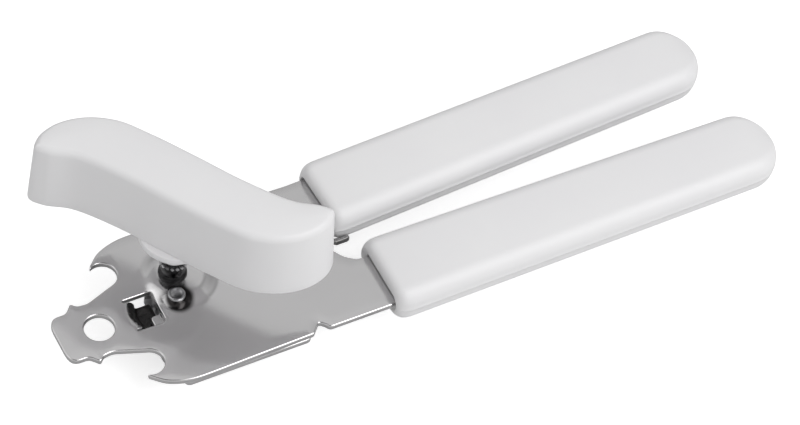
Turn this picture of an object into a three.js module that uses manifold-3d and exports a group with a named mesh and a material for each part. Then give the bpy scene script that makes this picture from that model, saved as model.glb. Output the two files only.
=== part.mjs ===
// Manual can opener with a crown-cap opener nose: two levers, a crank and a cutter.
// Millimetres, +Z up. The origin is the centre of the drive shaft's lower end face,
// +X runs from the wheels to the handles and +Y to the side of the lower lever's grip.
import * as THREE from 'three';
import { mergeVertices } from 'three/addons/utils/BufferGeometryUtils.js';
import Module from 'manifold-3d';

const wasm = await Module();
wasm.setup();

// ---------------------------------------------------------------- driving dimensions

// Clearances
const slideGap = 0.3; // along Z, between pieces that turn on each other
const boreGap = 0.2; // radial, round a pin or shaft
const slotGap = 0.3; // round a tang inside its grip
const wheelGap = 0.4; // along Z, between the feed wheel and the cutting edge
const tabGap = 0.5; // between the lanced hook and the sides of its window
const hookGap = 0.4; // between the lower lever and the hook's foot under it
const cutOver = 1; // how far a cutting tool runs past the faces that it cuts

// Drive shaft and the stack on it, from its lower end up
const shaftRadius = 1.9;
const threadRadius = 1.2;
const squareHalf = 1.3; // half the side of the square that drives gear and wheel
const hexRadius = 1.85; // corner radius of the six-sided head moulded into the knob
const shaftTail = 0.8; // thread that stands out below the nut
const nutHeight = 2.4;
const nutRadius = 2.9; // over corners
const lockWasherRadius = 3.2;
const lockWasherHeight = 0.6;
const feedRadius = 5.8;
const feedRootDepth = 0.5;
const feedTeeth = 24;
const feedHeight = 3.2;
const thrustRadius = 5;
const thrustHeight = 0.5;

// Gear pair
const toothModule = 1;
const driveTeeth = 12;
const cutterTeeth = 14;
const gearHeight = 2.2;
const toothAddendum = 0.55;
const toothDedendum = 0.85;
const toothThickness = { root: 1.85, pitch: 1.3, tip: 0.65 };

// Cutter
const cutterOverlap = 0.8; // how far the cutting edge reaches behind the feed wheel
const cutterDiscHeight = 1.2;
const cutterBevelWidth = 1.7;
const cutterEdgeHeight = 0.15;
const cutterHubRadius = 3.6;
const axleRadius = 2.4;
const axleShoulderRadius = 3.2;
const axleRivetRadius = 2.2;
const screwRadius = 1;
const screwLength = 4;
const screwHeadRadius = 3.8;
const screwHeadHeight = 1.1;
const screwSlot = { width: 0.9, depth: 0.5 };

// Pivot bushing: a neck round the shaft, a flange in the boss and an eccentric journal
const pivotOffset = 5.2; // from the shaft to the centre that the lower lever turns on
const journalRadius = 8.4;
const flangeRadius = 6.3;
const flangeHeight = 1.2;
const neckRadius = 2.75;
const neckFootRadius = 3.3;
const neckFootHeight = 0.4; // above the boss, before it narrows
const neckTaper = 0.9;
const neckAboveBoss = 4.3;
const ringWidth = 1.6; // of the ring that holds the lower lever on the journal
const ringHeight = 0.8;
const rivetAt = { x: -1.9, y: -6.3 };
const rivetRadius = 1.3;
const rivetHeadRadius = 2.05;
const rivetHeadHeight = 0.7;

// Both levers
const plateThickness = 1.6;
const noseAxisY = -6.7; // centre line of the nose and its two hooks
const nearEdgeY = -27;

// Upper lever
const noseTipX = -31;
const noseHalfWidth = 6.3;
const barbX = -24.4;
const barbHalfWidth = 8.5;
const neckX = -23.2;
const neckHalfWidth = 7;
const hookTipX = -16.2;
const hookRoot = { x: -13.4, halfWidth: 9.64 }; // where the neck's side runs into the notch
const headHalfWidth = 20.9;
const hangingHole = { x: -21, radius: 3.5 };
const capNotch = { x: -14.5, offset: 12.8, radius: 3.35 };
const edgeNotch = { startX: 22.6, deepX: 24.9, endX: 26.8, depth: 2.4 };
const upperFarX = 12.5; // where its far edge leaves the lower lever's
const bossAt = { x: 1.2, y: -0.9 };
const bossRadius = 6.9;
const bossFlare = 1.3; // how far the boss widens down to its foot
const bossHeight = 1.5;
const bossWall = 1.6;
const cavityRadius = 6.5;
const lugRadius = 2.1; // of the small bulge of the boss round the rivet
const lugFlare = 0.9;
const lugCavityRadius = 2.2;
const lugFlangeRadius = 2;
const tabWindow = { minX: -13.4, maxX: -6.4, minY: -10.9, maxY: -2.1 };
const tabThickness = 1.2;
const tabTopBend = 3; // outside radius of the bend down from the plate
const tabFootBend = 0.8; // inside radius of the bend into the foot
const tabReach = 6.8; // from the window's front edge to the end of the foot

// Lower lever
const wingFrontX = -8.8;
const wingEndX = 22.5;
const wingNearY = -26.9;
const collarFrontX = -5.8;
const lowerFarY = 15.4;
const armFlange = { startX: 27, endX: 43.8, outerY: -3.5, thickness: 1.2, bend: 2.6, drop: 1.7, lip: 0.7 };

// Grips
const gripLength = 103.7;
const gripMouthWidth = 18.7;
const gripEndWidth = 16.6;
const gripThickness = 10;
const gripEdge = 3.6; // rounding along its length
const gripEndRound = 6.5; // rounding of its free end, seen from above
const mouthRound = 2.2; // rounding of its mouth
const tangLength = 58;
const tangWidth = 14;
const upperGripAt = { x: 43, y: -19.8, turn: 0 };
const lowerGripAt = { x: 40.7, y: 7.3, turn: 2.2 };

// Knob
const knobClearance = 17; // from the upper lever to the knob's underside
const knobHeight = 19.7;
const knobDraft = 0.5; // how far its sides lean in, twice as much at the ends
const knobReach = 33; // from the shaft to the tips
const knobTopRound = 2;
const knobFootRound = 0.8;
const hubNoseRadius = 3.2; // the slim nose that presses on the toothed washer
const hubRimRadius = 8.5; // the wide rim under the knob
const hubRimDepth = 2.5;
const hubRimChamfer = 0.4;
const knobBoreDepth = 18;
const toothedWasherTeeth = 18;
const toothedWasherRadius = 3.45;
const toothedWasherDepth = 0.4;
const toothedWasherHeight = 1.5;

// ---------------------------------------------------------------- places that follow

const lockWasherZ = shaftTail + nutHeight;
const feedZ = lockWasherZ + lockWasherHeight;
const gearZ = feedZ + feedHeight;
const thrustZ = gearZ + gearHeight;
const bushingZ = thrustZ + thrustHeight + slideGap;
const lowerPlateZ = bushingZ + ringHeight + slideGap;
const upperPlateZ = lowerPlateZ + plateThickness + slideGap;
const upperTopZ = upperPlateZ + plateThickness;
const bossTopZ = upperTopZ + bossHeight;
const neckTopZ = bossTopZ + neckAboveBoss;
const toothedWasherZ = neckTopZ + slideGap;
const hubZ = toothedWasherZ + toothedWasherHeight + slideGap;
const knobZ = upperTopZ + knobClearance;
const shaftTopZ = hubZ + knobBoreDepth - slideGap;

const driveRadius = (toothModule * driveTeeth) / 2;
const cutterGearRadius = (toothModule * cutterTeeth) / 2;
const axleY = -(driveRadius + cutterGearRadius);
const discRadius = -axleY - feedRadius + cutterOverlap;
const discZ = feedZ - wheelGap - cutterDiscHeight;
const screwHeadZ = discZ - slideGap - screwHeadHeight;
const axleZ = screwHeadZ + screwHeadHeight;
const axleShoulderZ = gearZ + gearHeight + slideGap;

// ---------------------------------------------------------------- shape helpers

/** A closed three.js geometry as a solid that can be joined and cut. */
function solid(geometry) {
  const bare = geometry.index ? geometry.toNonIndexed() : geometry.clone();
  bare.deleteAttribute('normal');
  bare.deleteAttribute('uv');
  const merged = mergeVertices(bare, 1e-4);
  const mesh = new wasm.Mesh({
    numProp: 3,
    vertProperties: new Float32Array(merged.attributes.position.array),
    triVerts: new Uint32Array(merged.index.array),
  });
  return new wasm.Manifold(mesh);
}

/** A solid back as a three.js geometry. */
function geometryOf(body) {
  const mesh = body.getMesh();
  const geometry = new THREE.BufferGeometry();
  geometry.setAttribute('position', new THREE.BufferAttribute(mesh.vertProperties, 3));
  geometry.setIndex(new THREE.BufferAttribute(mesh.triVerts, 1));
  geometry.computeVertexNormals();
  return geometry;
}

/** A round bar or bore that stands on z. */
function cylinder(radius, z, height, x = 0, y = 0, sides = 48) {
  const geometry = new THREE.CylinderGeometry(radius, radius, height, sides);
  geometry.rotateX(Math.PI / 2);
  geometry.translate(x, y, z + height / 2);
  return solid(geometry);
}

/** A body of revolution about Z, from its [radius, z] profile. */
function turned(profile, sides = 48) {
  const points = profile.map(([radius, z]) => new THREE.Vector2(radius, z));
  return solid(new THREE.LatheGeometry(points, sides).rotateX(Math.PI / 2));
}

/** A box from its lowest to its highest corner. */
function box(low, high) {
  const size = high.map((value, axis) => value - low[axis]);
  const geometry = new THREE.BoxGeometry(...size);
  geometry.translate(...low.map((value, axis) => value + size[axis] / 2));
  return solid(geometry);
}

/** A flat plate of a given outline, from z up. */
function plate(shape, z, height) {
  const geometry = new THREE.ExtrudeGeometry(shape, { depth: height, bevelEnabled: false, curveSegments: 6 });
  return solid(geometry.translate(0, 0, z));
}

/** A closed outline through [x, y, cut] corners, each eased over the length cut. */
function easedOutline(corners) {
  const shape = new THREE.Shape();
  corners.forEach(([x, y, cut = 0.5], index) => {
    const corner = new THREE.Vector2(x, y);
    const before = corners.at(index - 1);
    const after = corners[(index + 1) % corners.length];
    const entry = towards(corner, before, cut);
    const exit = towards(corner, after, cut);
    if (index === 0) shape.moveTo(entry.x, entry.y);
    else shape.lineTo(entry.x, entry.y);
    shape.quadraticCurveTo(x, y, exit.x, exit.y);
  });
  shape.closePath();
  return shape;
}

/** The point that lies a length from one corner along the side to the next. */
function towards(corner, [x, y], length) {
  const side = new THREE.Vector2(x, y).sub(corner);
  return side.setLength(Math.min(length, side.length() * 0.49)).add(corner);
}

/** A closed solid through rings of points, each ring with as many points. */
function loft(rings) {
  const count = rings[0].length;
  const vertices = rings.flat();
  const triangles = [];
  for (let ring = 0; ring < rings.length - 1; ring += 1) {
    for (let point = 0; point < count; point += 1) {
      const a = ring * count + point;
      const b = ring * count + ((point + 1) % count);
      triangles.push(a, b, b + count, a, b + count, a + count);
    }
  }
  const outline = rings[0].map(([x, y, z, u = x, v = y]) => new THREE.Vector2(u, v));
  const last = (rings.length - 1) * count;
  for (const [a, b, c] of THREE.ShapeUtils.triangulateShape(outline, [])) {
    triangles.push(a, c, b, last + a, last + b, last + c);
  }
  const geometry = new THREE.BufferGeometry();
  const positions = vertices.flatMap(([x, y, z]) => [x, y, z]);
  geometry.setAttribute('position', new THREE.Float32BufferAttribute(positions, 3));
  geometry.setIndex(triangles);
  return solid(geometry);
}

/** The outline of a toothed wheel with straight flanks, one tooth centred on the angle start. */
function toothedOutline(teeth, radii, widths, start) {
  const shape = new THREE.Shape();
  const flank = ['root', 'pitch', 'tip'];
  const left = flank.map((part) => [radii[part], -widths[part] / 2 / radii[part]]);
  const right = flank.map((part) => [radii[part], widths[part] / 2 / radii[part]]).reverse();
  for (let tooth = 0; tooth < teeth; tooth += 1) {
    const middle = start + (tooth * 2 * Math.PI) / teeth;
    for (const [radius, angle] of [...left, ...right]) {
      const x = radius * Math.cos(middle + angle);
      const y = radius * Math.sin(middle + angle);
      if (shape.curves.length === 0 && tooth === 0 && angle === left[0][1]) shape.moveTo(x, y);
      else shape.lineTo(x, y);
    }
  }
  shape.closePath();
  return shape;
}

/** One spur gear on its own axis, with a tooth centred on the angle start. */
function spurGear(pitchRadius, teeth, start) {
  const radii = {
    root: pitchRadius - toothDedendum,
    pitch: pitchRadius,
    tip: pitchRadius + toothAddendum,
  };
  return plate(toothedOutline(teeth, radii, toothThickness, start), gearZ, gearHeight);
}

/** A square bar centred on the shaft, for the square on the shaft and the holes round it. */
function squareBar(half, z, height) {
  return box([-half, -half, z], [half, half, z + height]);
}

// ---------------------------------------------------------------- levers

/** One side of the nose and hooks, from the tip back, as [x, half width, cut] corners. */
const headCorners = [
  [noseTipX, noseHalfWidth, 2.6],
  [barbX - 1.9, noseHalfWidth + 0.1, 0.8],
  [barbX, barbHalfWidth, 0.4],
  [barbX + 1.2, neckHalfWidth + 0.3, 0.5],
  [neckX + 2.3, neckHalfWidth, 1],
  [hookRoot.x, hookRoot.halfWidth, 0.05],
  [hookTipX, capNotch.offset + capNotch.radius, 0.5],
  [hookTipX + 2.8, headHalfWidth - 2.1, 1.3],
  [hookTipX + 5.8, headHalfWidth - 0.8, 1.5],
  [hookTipX + 8.9, headHalfWidth - 0.1, 1.5],
  [hookTipX + 11.7, headHalfWidth, 2],
];

/** The two sides of a tang inside its grip, as corners in the grip's own frame. */
function tangCorners(grip, side) {
  const turn = THREE.MathUtils.degToRad(grip.turn);
  const root = [-slideGap, 0.2];
  const end = [tangLength, 3];
  const along = side < 0 ? [root, end] : [end, root];
  return along.map(([x, cut]) => {
    const y = (side * tangWidth) / 2;
    return [
      grip.x + x * Math.cos(turn) - y * Math.sin(turn),
      grip.y + x * Math.sin(turn) + y * Math.cos(turn),
      cut,
    ];
  });
}

function upperOutline() {
  const near = headCorners.map(([x, half, cut]) => [x, noseAxisY - half, cut]);
  const far = headCorners.map(([x, half, cut]) => [x, noseAxisY + half, cut]).reverse();
  const mouth = upperGripAt.x - slideGap;
  return easedOutline([
    ...near,
    [edgeNotch.startX, nearEdgeY, 0.4],
    [edgeNotch.deepX, nearEdgeY + edgeNotch.depth, 0.6],
    [edgeNotch.endX - 0.8, nearEdgeY + 1.4, 0.5],
    [edgeNotch.endX, nearEdgeY + 0.2, 0.6],
    [mouth, nearEdgeY + 0.2, 0.6],
    ...tangCorners(upperGripAt, -1),
    ...tangCorners(upperGripAt, 1),
    [mouth, upperGripAt.y + 7.5, 0.3],
    [mouth - 2, upperGripAt.y + 7.6, 1.2],
    [mouth - 4.6, upperGripAt.y + 9.6, 1.5],
    [mouth - 5.9, upperGripAt.y + 12.1, 2],
    [upperFarX, lowerFarY - 1.2, 6],
    ...far,
  ]);
}

/** The lanced hook: a strip bent down from the window's front edge, its foot under the lower lever. */
function leverHook() {
  const inner = tabTopBend - tabThickness;
  const footTop = lowerPlateZ - hookGap - upperPlateZ;
  const footLow = footTop - tabThickness;
  const shape = new THREE.Shape();
  shape.moveTo(-cutOver, 0);
  shape.lineTo(-cutOver, plateThickness);
  shape.lineTo(0, plateThickness);
  shape.quadraticCurveTo(tabTopBend, plateThickness, tabTopBend, plateThickness - tabTopBend);
  shape.lineTo(tabTopBend, footTop + tabFootBend);
  shape.quadraticCurveTo(tabTopBend, footTop, tabTopBend + tabFootBend, footTop);
  shape.lineTo(tabReach, footTop);
  shape.lineTo(tabReach, footLow);
  shape.lineTo(tabTopBend, footLow);
  shape.quadraticCurveTo(inner, footLow, inner, footTop);
  shape.lineTo(inner, 0);
  shape.closePath();
  const width = tabWindow.maxY - tabWindow.minY - 2 * tabGap;
  const geometry = new THREE.ExtrudeGeometry(shape, { depth: width, bevelEnabled: false, curveSegments: 6 });
  geometry.rotateX(Math.PI / 2);
  geometry.translate(tabWindow.minX, tabWindow.maxY - tabGap, upperPlateZ);
  return solid(geometry);
}

/** A dome pressed up out of the upper plate. */
function dome(radius, flare, x, y) {
  const foot = radius + flare;
  const profile = [[0, upperPlateZ], [foot, upperPlateZ], [foot, upperTopZ], [radius, bossTopZ],
    [0, bossTopZ]];
  return turned(profile).translate([x, y, 0]);
}

function upperLever() {
  const window = box([tabWindow.minX, tabWindow.minY, upperPlateZ - cutOver],
    [tabWindow.maxX, tabWindow.maxY, upperTopZ + cutOver]);
  const through = plateThickness + 2 * cutOver;
  const holeZ = upperPlateZ - cutOver;
  const cavityTopZ = bossTopZ - bossWall;
  let lever = plate(upperOutline(), upperPlateZ, plateThickness);
  lever = lever.add(dome(bossRadius, bossFlare, bossAt.x, bossAt.y));
  lever = lever.add(dome(lugRadius, lugFlare, rivetAt.x, rivetAt.y));
  lever = lever.subtract(window).add(leverHook());
  lever = lever.subtract(cylinder(hangingHole.radius, holeZ, through, hangingHole.x, noseAxisY));
  for (const side of [-1, 1]) {
    const y = noseAxisY + side * capNotch.offset;
    lever = lever.subtract(cylinder(capNotch.radius, holeZ, through, capNotch.x, y, 40));
  }
  lever = lever.subtract(cylinder(cavityRadius, holeZ, cavityTopZ - holeZ, bossAt.x, bossAt.y));
  lever = lever.subtract(cylinder(lugCavityRadius, holeZ, cavityTopZ - holeZ, rivetAt.x, rivetAt.y, 32));
  lever = lever.subtract(cylinder(neckFootRadius + boreGap, holeZ, bossTopZ + cutOver - holeZ));
  const rivetHole = rivetRadius + boreGap;
  return lever.subtract(cylinder(rivetHole, holeZ, bossTopZ + cutOver - holeZ, rivetAt.x, rivetAt.y, 24));
}

function lowerOutline() {
  const mouth = lowerGripAt.x - slideGap;
  const armEdgeY = armFlange.outerY + armFlange.bend;
  return easedOutline([
    [wingFrontX, wingNearY, 1.5],
    [wingEndX, wingNearY, 1.5],
    [wingEndX, wingNearY + 4.5, 3],
    [wingEndX - 5, axleY - 1.5, 4],
    [wingEndX - 2, armEdgeY - 3.5, 4],
    [armFlange.startX, armEdgeY, 2],
    [mouth, armEdgeY, 0.4],
    ...tangCorners(lowerGripAt, -1),
    ...tangCorners(lowerGripAt, 1),
    [mouth, lowerFarY - 1, 0.8],
    [mouth - 4.2, lowerFarY - 1.2, 1],
    [collarFrontX, lowerFarY, 1],
    [collarFrontX - 2, lowerFarY - 1, 1],
    [collarFrontX - 2, lowerFarY - 4.7, 0.8],
    [collarFrontX, lowerFarY - 7.2, 0.8],
    [collarFrontX, axleY / 2 - 0.7, 0.8],
    [wingFrontX, axleY / 2 - 1, 0.8],
  ]);
}

/** The edge of the lower lever's arm, bent down, with a small lip past the grip's mouth. */
function bentEdge() {
  const { startX, endX, outerY, thickness, bend, drop, lip } = armFlange;
  const top = lowerPlateZ + plateThickness;
  const low = lowerPlateZ - drop;
  const innerY = outerY + thickness;
  const shape = new THREE.Shape();
  shape.moveTo(outerY + bend + cutOver, top);
  shape.lineTo(outerY + bend, top);
  shape.quadraticCurveTo(outerY, top, outerY, top - bend);
  shape.lineTo(outerY, low);
  shape.lineTo(innerY, low);
  shape.lineTo(innerY, top - bend);
  shape.quadraticCurveTo(innerY, lowerPlateZ, innerY + bend - thickness, lowerPlateZ);
  shape.lineTo(outerY + bend + cutOver, lowerPlateZ);
  shape.closePath();
  const length = lowerGripAt.x - slideGap - startX;
  const geometry = new THREE.ExtrudeGeometry(shape, { depth: length, bevelEnabled: false, curveSegments: 6 });
  geometry.rotateX(Math.PI / 2);
  geometry.rotateZ(Math.PI / 2);
  geometry.translate(startX, 0, 0);
  const lipBox = box([lowerGripAt.x - slideGap - cutOver, outerY, low - lip], [endX, innerY, top - bend]);
  return solid(geometry).add(lipBox);
}

function lowerLever() {
  const through = plateThickness + 2 * cutOver;
  const holeZ = lowerPlateZ - cutOver;
  const lever = plate(lowerOutline(), lowerPlateZ, plateThickness).add(bentEdge());
  const journalHole = cylinder(journalRadius + boreGap, holeZ, through, pivotOffset, 0, 64);
  const axleHole = cylinder(axleRivetRadius + boreGap, holeZ, through, 0, axleY, 32);
  return lever.subtract(journalHole).subtract(axleHole);
}

// ---------------------------------------------------------------- grips

/** One cross section of a grip: a rounded rectangle at x, seen along the grip. */
function gripSection(x, halfWidth, halfHeight, edge) {
  const points = [];
  const corners = [[1, -1], [1, 1], [-1, 1], [-1, -1]];
  corners.forEach(([sideY, sideZ], quarter) => {
    for (let step = 0; step <= 5; step += 1) {
      const angle = ((quarter - 1 + step / 5) * Math.PI) / 2;
      const y = sideY * (halfWidth - edge) + edge * Math.cos(angle);
      const z = sideZ * (halfHeight - edge) + edge * Math.sin(angle);
      points.push([x, y, z, y, z]);
    }
  });
  return points;
}

/** How far a rounded end has closed in, at a share of the rounding's length. */
function closing(round, share) {
  return round * (1 - Math.sqrt(1 - share * share));
}

/** A tapered rounded bar along X, with a flat mouth, a round end and a slot for its tang. */
function grip(place, plateZ) {
  const halfAt = (x) => (gripMouthWidth + ((gripEndWidth - gripMouthWidth) * x) / gripLength) / 2;
  const halfHeight = gripThickness / 2;
  const rings = [1, 0.9, 0.6, 0].map((share) => {
    const x = mouthRound * (1 - share);
    const inset = closing(mouthRound, share);
    return gripSection(x, halfAt(x) - inset, halfHeight - inset, gripEdge - inset);
  });
  rings.push(gripSection(gripLength / 2, halfAt(gripLength / 2), halfHeight, gripEdge));
  for (const share of [0, 0.35, 0.6, 0.8, 0.93, 1]) {
    const x = gripLength - gripEndRound * (1 - share);
    const halfWidth = halfAt(x) - closing(gripEndRound, share);
    const height = halfHeight - closing(gripEdge, share);
    rings.push(gripSection(x, halfWidth, height, Math.min(gripEdge, height - 0.2)));
  }
  const half = tangWidth / 2 + slotGap;
  const thick = plateThickness / 2 + slotGap;
  const slot = box([-cutOver, -half, -thick], [tangLength + slotGap, half, thick]);
  const geometry = geometryOf(loft(rings).subtract(slot));
  geometry.rotateZ(THREE.MathUtils.degToRad(place.turn));
  return geometry.translate(place.x, place.y, plateZ + plateThickness / 2);
}

// ---------------------------------------------------------------- crank

/** Half of the knob's foot outline, from the middle of its near side round the +X end. */
const knobHalf = [
  [-5.8, -4],
  [1.2, -14],
  [6.6, -20.6],
  [13.2, -24.6],
  [20, -25.7],
  [25.2, -24],
  [27.3, -20.8],
  [25, -17.8],
  [19.7, -14.2],
  [12, -5],
];

/** The knob's outline moved in by a length, and by the lean of its sides, as a ring of points at z. */
function knobRing(inset, lean, z) {
  const all = [...knobHalf, ...knobHalf.map(([x, y]) => [-x, -y])];
  const corners = all.map(([x, y]) => new THREE.Vector3(x, y, 0));
  const curve = new THREE.CatmullRomCurve3(corners, true, 'centripetal');
  const samples = 72;
  return Array.from({ length: samples }, (unused, index) => {
    const point = curve.getPoint(index / samples);
    const along = curve.getTangent(index / samples);
    const move = inset + lean * (1 + (point.length() / knobReach) ** 2);
    return [point.x - along.y * move, point.y + along.x * move, z];
  });
}

function crankKnob() {
  const top = knobZ + knobHeight;
  const rings = [knobRing(knobFootRound, 0, knobZ), knobRing(0, 0, knobZ + knobFootRound)];
  for (const share of [0, 0.5, 0.8, 0.95, 1]) {
    const inset = closing(knobTopRound, share) * 0.8;
    rings.push(knobRing(inset, knobDraft, top - knobTopRound * (1 - share)));
  }
  const rimZ = knobZ - hubRimDepth;
  const hubTop = knobZ + knobFootRound / 2;
  const hub = turned([[0, hubZ], [hubNoseRadius, hubZ], [hubNoseRadius, rimZ],
    [hubRimRadius - hubRimChamfer, rimZ], [hubRimRadius, rimZ + hubRimChamfer], [hubRimRadius, hubTop],
    [0, hubTop]]);
  const bore = cylinder(hexRadius + boreGap, hubZ - cutOver, knobBoreDepth + cutOver, 0, 0, 6);
  return loft(rings).add(hub).subtract(bore);
}

function driveShaft() {
  const roundZ = gearZ + gearHeight;
  const thread = cylinder(threadRadius, 0, feedZ + cutOver, 0, 0, 32);
  const square = squareBar(squareHalf, feedZ, roundZ - feedZ + cutOver);
  const round = cylinder(shaftRadius, roundZ, toothedWasherZ - roundZ + cutOver);
  const head = cylinder(hexRadius, toothedWasherZ, shaftTopZ - toothedWasherZ, 0, 0, 6);
  return thread.add(square).add(round.add(head));
}

function toothedWasher() {
  const step = toothedWasherDepth;
  const radii = {
    root: toothedWasherRadius - step,
    pitch: toothedWasherRadius - step / 2,
    tip: toothedWasherRadius,
  };
  const shape = toothedOutline(toothedWasherTeeth, radii, { root: 0.9, pitch: 0.7, tip: 0.5 }, 0);
  const bore = cylinder(shaftRadius + boreGap, toothedWasherZ - cutOver, toothedWasherHeight + 2 * cutOver);
  return plate(shape, toothedWasherZ, toothedWasherHeight).subtract(bore);
}

/** A flat round washer with a round hole. */
function washer(radius, hole, z, height, x = 0) {
  const sheet = cylinder(radius, z, height, x);
  return sheet.subtract(cylinder(hole, z - cutOver, height + 2 * cutOver, x));
}

function thrustWasher() {
  return washer(thrustRadius, shaftRadius + boreGap, thrustZ, thrustHeight);
}

function lockWasher() {
  return washer(lockWasherRadius, threadRadius + boreGap, lockWasherZ, lockWasherHeight);
}

function driveGear() {
  const bore = squareBar(squareHalf + boreGap, gearZ - cutOver, gearHeight + 2 * cutOver);
  return spurGear(driveRadius, driveTeeth, 0).subtract(bore);
}

function feedWheel() {
  const radii = { root: feedRadius - feedRootDepth, pitch: feedRadius - feedRootDepth / 2, tip: feedRadius };
  const shape = toothedOutline(feedTeeth, radii, { root: 1.2, pitch: 0.8, tip: 0.35 }, 0);
  const bore = squareBar(squareHalf + boreGap, feedZ - cutOver, feedHeight + 2 * cutOver);
  return plate(shape, feedZ, feedHeight).subtract(bore);
}

function endNut() {
  const bore = cylinder(threadRadius + boreGap, shaftTail - cutOver, nutHeight + 2 * cutOver, 0, 0, 32);
  return cylinder(nutRadius, shaftTail, nutHeight, 0, 0, 6).subtract(bore);
}

// ---------------------------------------------------------------- pivot

function pivotBushing() {
  const journal = cylinder(journalRadius, bushingZ, upperPlateZ - bushingZ, pivotOffset, 0, 64);
  const flange = cylinder(flangeRadius, upperPlateZ, flangeHeight, bossAt.x, bossAt.y);
  const lug = cylinder(lugFlangeRadius, upperPlateZ, flangeHeight, rivetAt.x, rivetAt.y, 32);
  const footTop = bossTopZ + neckFootHeight;
  const neck = turned([[0, bushingZ], [neckFootRadius, bushingZ], [neckFootRadius, footTop],
    [neckRadius, footTop + neckTaper], [neckRadius, neckTopZ], [0, neckTopZ]]);
  const bore = cylinder(shaftRadius + boreGap, bushingZ - cutOver, neckTopZ - bushingZ + 2 * cutOver);
  const rivetHole = cylinder(rivetRadius + boreGap, upperPlateZ - cutOver, flangeHeight + 2 * cutOver,
    rivetAt.x, rivetAt.y, 24);
  return journal.add(flange).add(lug).add(neck).subtract(bore).subtract(rivetHole);
}

function leverRing() {
  return washer(journalRadius + ringWidth, journalRadius + boreGap, bushingZ, ringHeight, pivotOffset);
}

function bushingRivet() {
  const head = bossTopZ + rivetHeadHeight;
  const shoulder = bossTopZ + rivetHeadHeight * 0.55;
  const profile = [[0, upperPlateZ], [rivetRadius, upperPlateZ], [rivetRadius, bossTopZ],
    [rivetHeadRadius, bossTopZ], [rivetHeadRadius * 0.9, shoulder], [rivetHeadRadius * 0.55, head - 0.1],
    [0, head]];
  return turned(profile, 24).translate([rivetAt.x, rivetAt.y, 0]);
}

// ---------------------------------------------------------------- cutter

/** A ring on the cutter's axle. */
function onAxle(body) {
  return body.translate([0, axleY, 0]);
}

function cutterWheel() {
  const bore = axleRadius + boreGap;
  const top = discZ + cutterDiscHeight;
  const profile = [[bore, discZ], [discRadius - cutterBevelWidth, discZ], [discRadius, top - cutterEdgeHeight],
    [discRadius, top], [bore, top], [bore, discZ]];
  return onAxle(turned(profile, 72));
}

function cutterSpacer() {
  const z = discZ + cutterDiscHeight;
  return onAxle(washer(cutterHubRadius, axleRadius + boreGap, z, gearZ - z));
}

function cutterGear() {
  const halfPitch = Math.PI / cutterTeeth;
  const bore = cylinder(axleRadius + boreGap, gearZ - cutOver, gearHeight + 2 * cutOver);
  return onAxle(spurGear(cutterGearRadius, cutterTeeth, Math.PI / 2 + halfPitch).subtract(bore));
}

function cutterAxle() {
  const shaft = cylinder(axleRadius, axleZ, axleShoulderZ - axleZ + cutOver);
  const shoulder = cylinder(axleShoulderRadius, axleShoulderZ, lowerPlateZ - axleShoulderZ);
  const tail = cylinder(axleRivetRadius, lowerPlateZ - cutOver, plateThickness + cutOver, 0, 0, 32);
  const bore = cylinder(screwRadius + boreGap, axleZ - cutOver, screwLength + slideGap + cutOver, 0, 0, 24);
  return onAxle(shaft.add(shoulder).add(tail).subtract(bore));
}

function cutterScrew() {
  const head = cylinder(screwHeadRadius, screwHeadZ, screwHeadHeight);
  const shank = cylinder(screwRadius, screwHeadZ, screwHeadHeight + screwLength, 0, 0, 24);
  const half = screwSlot.width / 2;
  const slot = box([-screwHeadRadius - cutOver, -half, screwHeadZ - cutOver],
    [screwHeadRadius + cutOver, half, screwHeadZ + screwSlot.depth]);
  return onAxle(head.add(shank).subtract(slot));
}

// ---------------------------------------------------------------- the assembly

const finishes = {
  plastic: { color: 0xe4e3e5, roughness: 0.45, metalness: 0 },
  plated: { color: 0xa8a7a8, roughness: 0.28, metalness: 1 },
  turned: { color: 0x9a9a9c, roughness: 0.35, metalness: 1 },
  hardened: { color: 0x8b8c90, roughness: 0.4, metalness: 1 },
};

const opener = new THREE.Group();

/** Add one named piece, a solid or a finished geometry, in its own material. */
function piece(parent, name, body, finish) {
  const geometry = body.isBufferGeometry ? body : geometryOf(body);
  const mesh = new THREE.Mesh(geometry, new THREE.MeshStandardMaterial(finishes[finish]));
  mesh.name = name;
  parent.add(mesh);
}

const upperBody = new THREE.Group();
piece(upperBody, 'upper_lever', upperLever(), 'plated');
piece(upperBody, 'upper_grip', grip(upperGripAt, upperPlateZ), 'plastic');
piece(upperBody, 'pivot_bushing', pivotBushing(), 'turned');
piece(upperBody, 'bushing_rivet', bushingRivet(), 'turned');
piece(upperBody, 'lever_retaining_ring', leverRing(), 'turned');

const lowerBody = new THREE.Group();
piece(lowerBody, 'lower_lever', lowerLever(), 'plated');
piece(lowerBody, 'lower_grip', grip(lowerGripAt, lowerPlateZ), 'plastic');
piece(lowerBody, 'cutter_axle', cutterAxle(), 'turned');
piece(lowerBody, 'cutter_screw', cutterScrew(), 'turned');

const cutterBody = new THREE.Group();
piece(cutterBody, 'cutter_gear', cutterGear(), 'hardened');
piece(cutterBody, 'cutter_spacer', cutterSpacer(), 'turned');
piece(cutterBody, 'cutter_wheel', cutterWheel(), 'hardened');

const crankBody = new THREE.Group();
piece(crankBody, 'crank_knob', crankKnob(), 'plastic');
piece(crankBody, 'drive_shaft', driveShaft(), 'turned');
piece(crankBody, 'toothed_washer', toothedWasher(), 'turned');
piece(crankBody, 'thrust_washer', thrustWasher(), 'turned');
piece(crankBody, 'drive_gear', driveGear(), 'hardened');
piece(crankBody, 'feed_wheel', feedWheel(), 'hardened');
piece(crankBody, 'lock_washer', lockWasher(), 'turned');
piece(crankBody, 'end_nut', endNut(), 'turned');

opener.add(upperBody, lowerBody, cutterBody, crankBody);

export default opener;
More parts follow.
